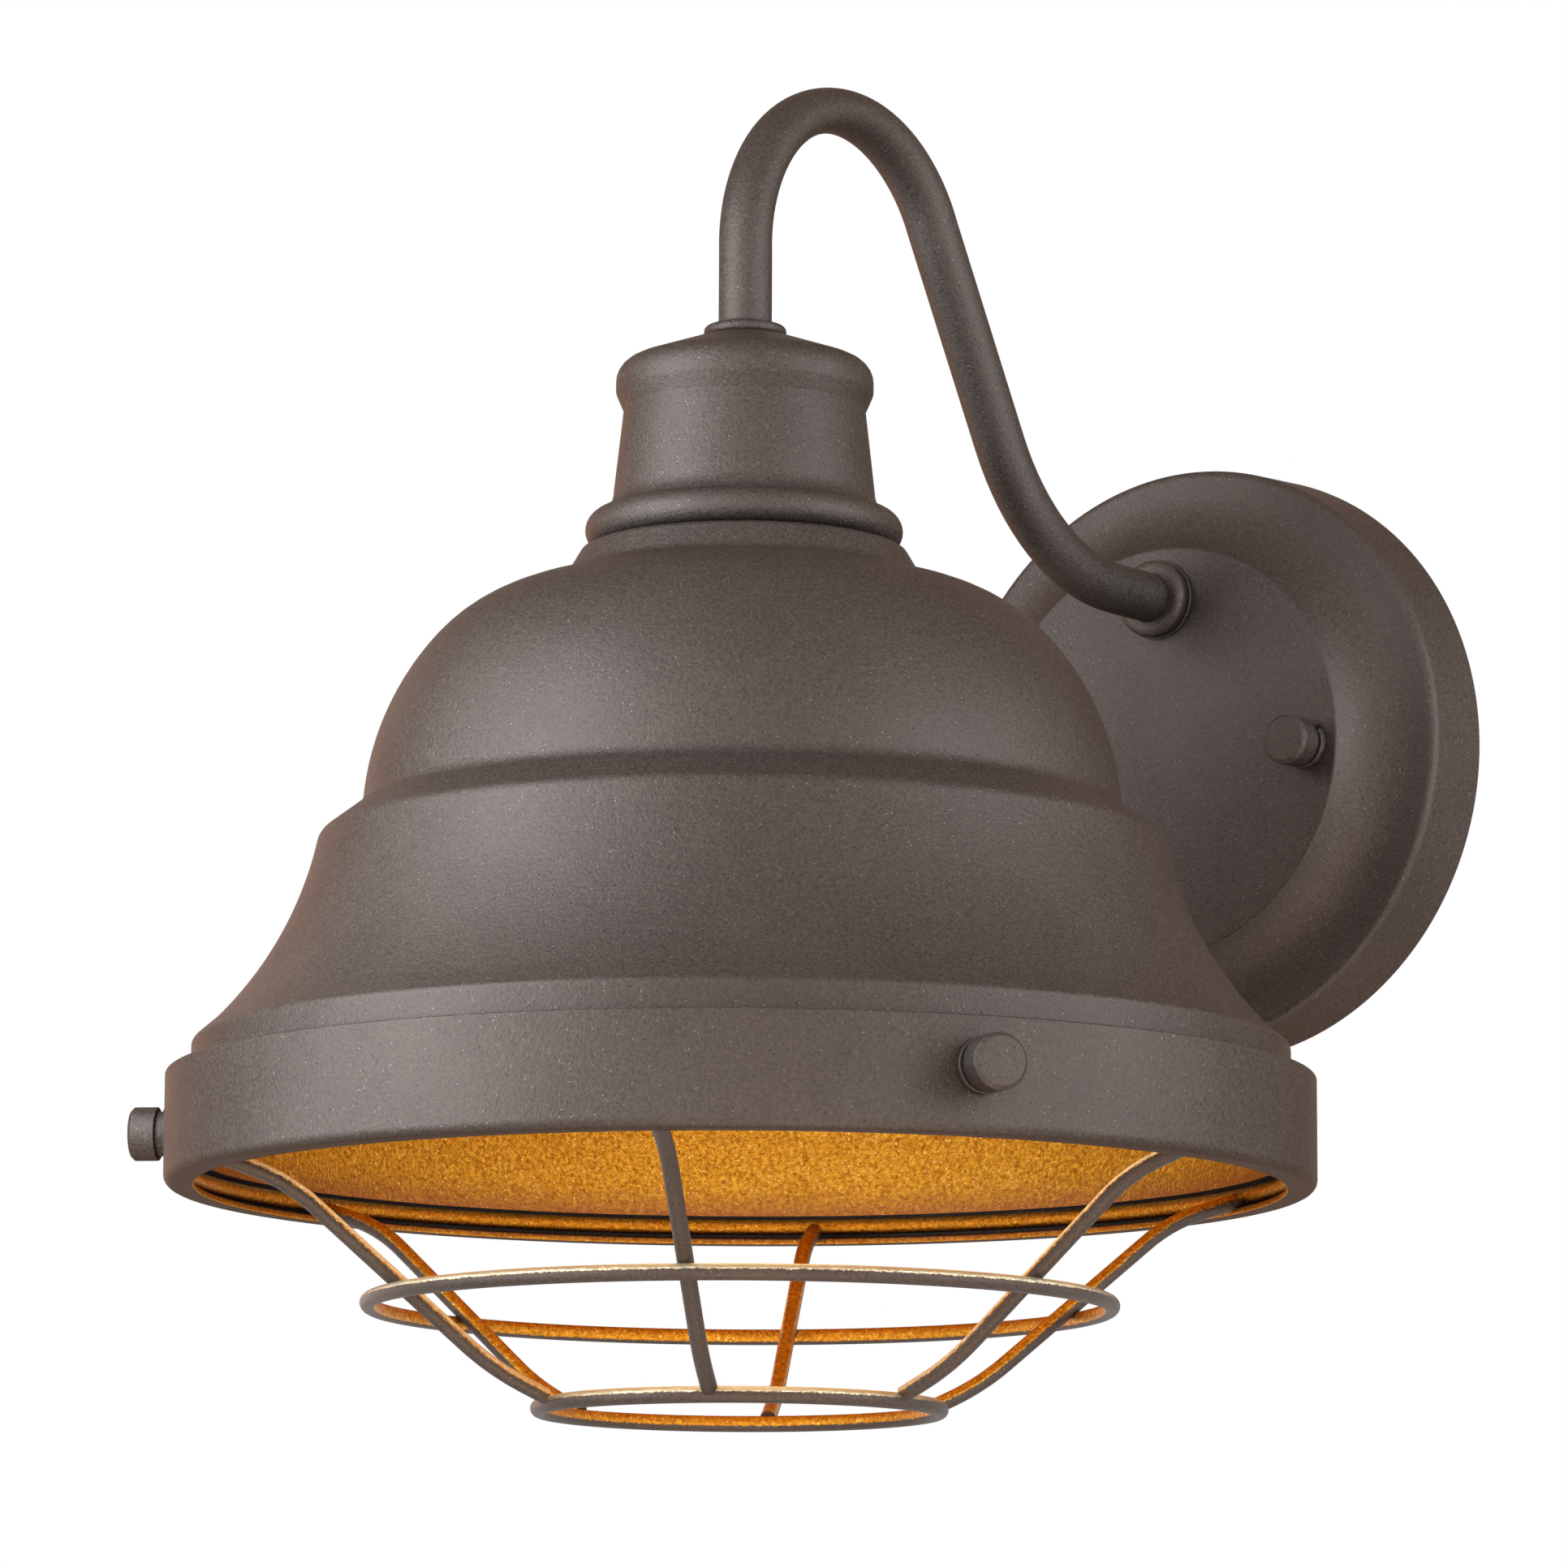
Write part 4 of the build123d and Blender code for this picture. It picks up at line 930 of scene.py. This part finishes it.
slope = add_node(gold_spray, "ShaderNodeSeparateXYZ", {0: place["Normal"]}).outputs["Z"]
slope = spray_sum("MULTIPLY_ADD", drops, given["Speckle"], slope)
# Painted highlight: a pale cream tone on upward faces on the camera's side of the cage, standing in for light
# glinting along the tops of the wires.
faces_upward = ramp(gold_spray, slope, *highlight_slopes)
on_camera_side = ramp(gold_spray, vector_step(gold_spray, "DOT_PRODUCT", towards, highlight_side), *highlight_depths)
add_node(gold_spray, "NodeGroupOutput", {
    "Gold": ramp(gold_spray, reach, given["Edge"], full_gold, "SMOOTHSTEP"),
    "Reached": ramp(gold_spray, height, given["Bare Height"], given["Gold Height"], "SMOOTHSTEP"),
    "Painted Highlight": spray_sum("MULTIPLY", faces_upward, on_camera_side),
})

gun_height, gold_roughness, gold_relief = 40, 0.40, 2.0
gold_grain = {"Grain Size": 0.0006, "Mottle Size": 0.03, "Fleck Share": 0.12}


def gilded(name, tones, edge=0.0, fade=None, lower_tone=None, dust=None, coat=(bronze_dark, bronze_light), **look):
    """Bronze coat with gold paint where the surface faces the spray gun on the shade's axis, and a painted
    highlight where one is given.
    """
    material = finish(name, *coat, **{**bronze_look, **look})
    tree = material.node_tree
    shader = tree.nodes["Principled BSDF"]
    aim = {"Gun": (shade_axis + Vector((0, 0, gun_height))) * MM, "Edge": edge}
    if fade:
        bare, covered = fade
        aim["Bare Height"] = (shade_axis.z + bare) * MM
        aim["Gold Height"] = (shade_axis.z + covered) * MM
        aim["Ragged"] = abs(covered - bare) * MM
    spray = add_node(tree, "ShaderNodeGroup", aim, node_tree=gold_spray).outputs
    sparkle = add_node(tree, "ShaderNodeGroup", gold_grain, node_tree=surface_grain).outputs
    deep, bright, glint = tones
    gold = blend_colours(tree, sparkle["Grain"], deep, bright)
    gold = blend_colours(tree, sparkle["Flecks"], gold, glint)
    mask = spray["Gold"]
    # Towards the lower edge the gold goes over to a duller, browner tone.
    if lower_tone:
        gold = blend_colours(tree, spray["Reached"], lower_tone, gold)
    else:
        mask = reckon(tree, "MULTIPLY", mask, spray["Reached"])
    # Painted highlight: a pale tone laid over the upward faces on the camera's side, in place of the light
    # that glints there.
    if dust:
        gold = blend_colours(tree, spray["Painted Highlight"], gold, dust)
        mask = reckon(tree, "MAXIMUM", mask, spray["Painted Highlight"])
    bare_colour = shader.inputs["Base Color"].links[0].from_socket
    tree.links.new(blend_colours(tree, mask, bare_colour, gold), shader.inputs["Base Color"])
    bare_roughness = shader.inputs["Roughness"].links[0].from_socket
    smoother = reckon(tree, "SUBTRACT", gold_roughness, bare_roughness)
    tree.links.new(reckon(tree, "MULTIPLY_ADD", smoother, mask, bare_roughness), shader.inputs["Roughness"])
    bump = shader.inputs["Normal"].links[0].from_node
    bare_height = bump.inputs["Height"].links[0].from_socket
    paint_height = reckon(tree, "MULTIPLY", mask, gold_relief)
    raised = reckon(tree, "MULTIPLY_ADD", sparkle["Grain"], paint_height, bare_height)
    tree.links.new(raised, bump.inputs["Height"])
    return material


shade_gold = ((0.32, 0.11, 0.003), (1.0, 0.58, 0.07), (1.0, 0.76, 0.30))
# The shade's gold is darker and browner towards its lower edge.
shade_coat = gilded("bronze outside and gold inside", shade_gold, fade=(3, 15), lower_tone=(0.36, 0.13, 0.055))
shade_wall, shade_lip, shade_hole = 1.0, 116.3, 20.1
slope_top, shoulder, groove = (111.9, 33.8), (90.2, 74.6), (80.9, 81.6)
dome_join, dome_top = (66.1, 117.4), (50.0, 128.1)
flare_radius, dome_radius, crown_radius = 80, 59.4, 37.588
shade_line = [
    (shade_lip, 6.4), (shade_lip, 30, 1.6), slope_top, *bow(slope_top, shoulder, -flare_radius),
    (*shoulder, 3.2), (*groove, 4.0), *bow(groove, dome_join, dome_radius), dome_join,
    *bow(dome_join, dome_top, crown_radius, 6), dome_top, (38.4, 131.5, 4.0), (34.6, step_top, 2.0),
    (shade_hole, step_top),
]
shade = on_axis("shade.dressed", walled(shade_line, shade_wall), shade_coat, segments=224)
dress(shade, "bronze_coat")

# Rim band: a rolled steel ring with an inward lip, three weld nuts inside it, coated and gilded with
# the shade. It hangs on the thumb screws and carries the cage.

band_height, band_radius, band_inside, lip_radius, lip_gauge = 23.6, 121.7, 120.5, 115.3, 1.3
band_profile = softened([
    (lip_radius, 0.4), (lip_radius, 0, 0.3), (band_radius, 0, 2.0), (band_radius, band_height, 0.5),
    (band_inside, band_height, 0.3), (band_inside, lip_gauge, 0.8), (lip_radius, lip_gauge, 0.3),
    (lip_radius, 0.4),
])
lip_gold = ((0.30, 0.085, 0.004), (0.80, 0.34, 0.04), (0.95, 0.6, 0.25))
band_coat = gilded("bronze with a gilded lip", lip_gold, fade=(2.2, 0.0))
rim_band = on_axis("rim_band.dressed", band_profile, band_coat, segments=224)
screw_height, screw_angles, screw_hole = 13.4, (59.6, 179.6, 299.6), 2.3
screw_middle = shade_axis + Vector((0, 0, screw_height))
screw_places = [(screw_middle, (math.pi / 2, 0, math.radians(angle))) for angle in screw_angles]
band_holes = [(screw_hole, place, turn) for place, turn in screw_places]
bored(rim_band, band_holes, low=110, high=130, segments=32)
dress(rim_band, "bronze_coat", body="cage_ring")
thumb_bore, nut_corner, nut_low, nut_high = 2.05, 4.04, band_inside - 2.5, band_inside - 0.1
weld_nut_profile = [
    (thumb_bore, nut_low), (3.6, nut_low), (nut_corner, nut_low + 0.35), (nut_corner, nut_high),
    (thumb_bore, nut_high), (thumb_bore, nut_low),
]
for number, (place, turn) in enumerate(screw_places, start=1):
    weld_nut = turned(f"weld_nut_{number}", weld_nut_profile, band_coat, segments=72, place=place, turn=turn,
                      flats=3.5 * MM)
    dress(weld_nut, "bronze_coat", "weld_nuts", body="cage_ring")

# Thumb screws: three turned screws with round heads over split spring washers, coated like the band.
# Their tips press on the shade's lip and hold the band up.

thumb_radius, thumb_tip, thumb_end, thumb_pitch, thumb_cut = 2.0, 1.5, 116.6, 0.7, 0.3
thumb_split, washer_seat = math.radians(90), band_radius + 0.05
neck_base = washer_seat + washer_gauge + washer_twist
thumb_rows = thread_rows(thumb_radius, 117.2, neck_base - 0.25, thumb_pitch)
thumb_profile = [
    (0, thumb_end), (thumb_tip, thumb_end), *thumb_rows, (thumb_radius, neck_base), *knob_head(neck_base),
]
for number, (place, turn) in enumerate(screw_places, start=1):
    washer = spring_washer(
        f"thumb_washer_{number}.dressed", thumb_bore, washer_seat, thumb_split, place, turn
    )
    screw = turned(f"thumb_screw_{number}.dressed", thumb_profile, bronze, place=place, turn=turn,
                   cut=thumb_rows[1:-1], pitch=thumb_pitch * MM, thread_depth=thumb_cut * MM)
    dress(washer, "bronze_coat", body=f"thumb_washer_{number}")
    dress(screw, "bronze_coat", body=f"thumb_screw_{number}")

# Cage: three rings and six bowed ribs of round steel wire, resistance welded where they cross.
# The top ring sits in the band; the wire is bronze outside and gold where the spray reached it, with a
# painted highlight in pale cream along the tops of the wires on the camera's side.

wire_radius, wire_sides, wire_fold = 1.75, 20, 0.8
cage_wire, given, wire_inputs = new_group(
    "cage wire", "GeometryNodeTree",
    {"Piece": "Geometry"},
    {
        "Route": ("Geometry", None),
        "Wire Radius": ("Float", wire_radius * MM),
        "Copies": ("Int", 1),
        "First Angle": ("Float", 0.0),
        "Place": ("Vector", (0, 0, 0)),
        "Material": ("Material", None),
    },
)
line = add_node(cage_wire, "GeometryNodeMeshToCurve", {"Mesh": given["Route"]}).outputs[0]
circle = {"Resolution": wire_sides, "Radius": given["Wire Radius"]}
section = add_node(cage_wire, "GeometryNodeCurvePrimitiveCircle", circle).outputs[0]
drawn = {"Curve": line, "Profile Curve": section, "Fill Caps": True}
wire = add_node(cage_wire, "GeometryNodeCurveToMesh", drawn).outputs[0]
wire = shaded(cage_wire, wire, wire_fold)
row_of_spots = {"Count": given["Copies"], "Start Location": given["Place"], "Offset": (0, 0, 0)}
spots = add_node(cage_wire, "GeometryNodeMeshLine", row_of_spots).outputs[0]
index = add_node(cage_wire, "GeometryNodeInputIndex").outputs[0]
step = reckon(cage_wire, "DIVIDE", math.tau, given["Copies"])
angle = reckon(cage_wire, "MULTIPLY_ADD", index, step, given["First Angle"])
turn = add_node(cage_wire, "ShaderNodeCombineXYZ", {"Z": angle}).outputs[0]
spread = {"Points": spots, "Instance": wire, "Rotation": turn}
piece = add_node(cage_wire, "GeometryNodeInstanceOnPoints", spread).outputs[0]
put_out(cage_wire, piece, given["Material"])


def wired(name, points, closed, **sizes):
    """A wire along points in mm about the shade's axis."""
    wire = line_piece(name, [Vector(point) * MM for point in points], closed)
    return made_from(wire, cage_wire, wire_inputs, {"place": shade_axis * MM, "material": wire_coat, **sizes})


wire_gold = ((0.33, 0.095, 0.003), (0.90, 0.38, 0.03), (0.95, 0.62, 0.2))
wire_bronze = ((0.066, 0.0465, 0.038), (0.125, 0.088, 0.0715))
# The pale cream tone is a painted highlight along the tops of the near wires.
wire_coat = gilded("wire with overspray", wire_gold, edge=0.05, dust=(1.0, 0.95, 0.70), coat=wire_bronze,
                   edge_tint=(1, 1, 1))
for ring, radius, segments in (("seat", 118.7, 200), ("middle", 78.4, 160), ("bottom", 42.3, 120)):
    low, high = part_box(f"cage_{ring}_ring")
    height = (low.z + high.z) / 2 / MM - shade_axis.z
    turns = [math.tau * step / segments for step in range(segments)]
    circle = [(radius * math.cos(turn), radius * math.sin(turn), height) for turn in turns]
    dress(wired(f"cage_{ring}_ring.dressed", circle, True), "bronze_coat", body="cage_ring")
rib_count, rib_first_angle = 6, math.radians(28.5)
rib_line = softened([(117.1, 3.15), (100.6, -2.02, 40), (55.4, -39.037, 60), (43.2, -44.7)], steps=10)
cage_ribs = wired("cage_ribs", [(0, -across, height) for across, height in rib_line], False, copies=rib_count,
                  first_angle=rib_first_angle)
rib_nodes = [f"cage_rib_{number}" for number in range(1, rib_count + 1)]
dress(cage_ribs, "bronze_coat", *rib_nodes, body="cage_ring")

# Studio: a pale floor well below the light, and a white surround that gives the object only part of
# its light. Cool softboxes stand to the left and right of the photograph's viewpoint, with a fill in
# front, a golden glow from below, a rusty one from behind and a small warm one inside the shade.

floor_half, floor_level = 8, -2.6
floor_in_reflections, floor_in_view = 0.8, 0.62
floor_mesh = bpy.data.meshes.new("floor")
floor_corners = [
    (side * floor_half, end * floor_half, floor_level) for side, end in ((-1, -1), (1, -1), (1, 1), (-1, 1))
]
floor_mesh.from_pydata(floor_corners, [], [(0, 1, 2, 3)])
floor_paint = bpy.data.materials.new("pale floor")
floor_paint.use_nodes = True
tree = floor_paint.node_tree
floor_shader = tree.nodes["Principled BSDF"]
floor_shader.inputs["Base Color"].default_value = (0.85, 0.85, 0.85, 1)
floor_shader.inputs["Roughness"].default_value = 0.8
floor_shader.inputs["Emission Color"].default_value = (1, 1, 1, 1)
seen = add_node(tree, "ShaderNodeLightPath").outputs
in_view = reckon(tree, "MULTIPLY", seen["Is Camera Ray"], floor_in_view)
floor_white = reckon(tree, "MULTIPLY_ADD", seen["Is Glossy Ray"], floor_in_reflections, in_view)
tree.links.new(floor_white, floor_shader.inputs["Emission Strength"])
new_piece("floor", floor_mesh, floor_paint)

room_light = 0.35
world = bpy.data.worlds.new("white surround")
bpy.context.scene.world = world
world.use_nodes = True
tree = world.node_tree
seen = add_node(tree, "ShaderNodeLightPath").outputs
shown = reckon(tree, "MAXIMUM", seen["Is Glossy Ray"], seen["Is Transmission Ray"])
shown = reckon(tree, "MAXIMUM", seen["Is Camera Ray"], shown)
level = reckon(tree, "MULTIPLY_ADD", shown, 1 - room_light, room_light)
tree.nodes["Background"].inputs["Color"].default_value = (1, 1, 1, 1)
tree.links.new(level, tree.nodes["Background"].inputs["Strength"])

view_turn, view_rise, view_roll = 0.6357345, 0.1608145, 0.0044559
mm_per_pixel, focal_pixels, image_pixels, sensor_width = 0.1716, 8800.0, 1932, 36.0
lip_offset = (-53.5546, 502.5204)  # the lip's middle in the photograph, in pixels from its centre
level_right = Vector((math.cos(view_turn), math.sin(view_turn), 0))
away = Vector((-math.sin(view_turn), math.cos(view_turn), 0))
up = Vector((0, 0, 1))
forward = away * math.cos(view_rise) + up * math.sin(view_rise)
level_up = up * math.cos(view_rise) - away * math.sin(view_rise)
right = level_right * math.cos(view_roll) + level_up * math.sin(view_roll)
upward = level_up * math.cos(view_roll) - level_right * math.sin(view_roll)
eye_to_lip = (right * lip_offset[0] - upward * lip_offset[1] + forward * focal_pixels) * mm_per_pixel
camera = bpy.data.objects.new("camera", bpy.data.cameras.new("camera"))
bpy.context.collection.objects.link(camera)
camera.data.sensor_width = sensor_width
camera.data.lens = sensor_width * focal_pixels / image_pixels
camera.data.clip_end = 100
camera.matrix_world = Matrix((right, upward, -forward)).transposed().to_4x4()
camera.location = (shade_axis - eye_to_lip) * MM
bpy.context.scene.camera = camera


def lamp_at(lamp, place):
    """Put a lamp in the scene, out of the camera's sight."""
    holder = bpy.data.objects.new(lamp.name, lamp)
    bpy.context.collection.objects.link(holder)
    holder.visible_camera = False
    holder.location = place
    return holder


lamp_aim = (shade_axis + Vector((0, 60, 90))) * MM


def softbox(name, bearing, rise, distance, width, height, radiance, colour):
    """A flat lamp aimed at the shade, at a bearing in degrees to the right of the camera's side."""
    turn, climb = math.radians(bearing), math.radians(rise)
    level_out = level_right * math.sin(turn) - away * math.cos(turn)
    out = level_out * math.cos(climb) + up * math.sin(climb)
    lamp = bpy.data.lights.new(name, "AREA")
    lamp.shape = "RECTANGLE"
    lamp.size, lamp.size_y = width, height
    lamp.energy = radiance * math.pi * width * height
    lamp.color = colour
    lamp_at(lamp, lamp_aim + out * distance).rotation_euler = out.to_track_quat("Z", "Y").to_euler()


cool, plain, warm = (0.80, 1.0, 1.10), (1.0, 1.0, 1.0), (1.0, 0.86, 0.66)
golden, rusty = (1.0, 0.80, 0.5), (1.0, 0.70, 0.56)
softbox("left softbox", -56, 9, distance=0.38, width=0.24, height=0.40, radiance=8.3, colour=cool)
softbox("right softbox", 62, 9, distance=0.8, width=0.50, height=0.60, radiance=5.8, colour=cool)
softbox("front fill", 0, 0, distance=1.3, width=0.60, height=0.60, radiance=3.0, colour=plain)
softbox("low front glow", 5, -52, distance=0.8, width=0.35, height=0.35, radiance=5.0, colour=golden)
softbox("back left glow", -138, 4, distance=0.6, width=0.30, height=0.50, radiance=2.4, colour=rusty)
glow_height = 60
glow = bpy.data.lights.new("glow in the shade", "POINT")
glow.energy, glow.shadow_soft_size, glow.color = 0.08, 0.03, warm
lamp_at(glow, (shade_axis + up * glow_height) * MM)

bpy.context.scene.view_settings.view_transform = "Standard"
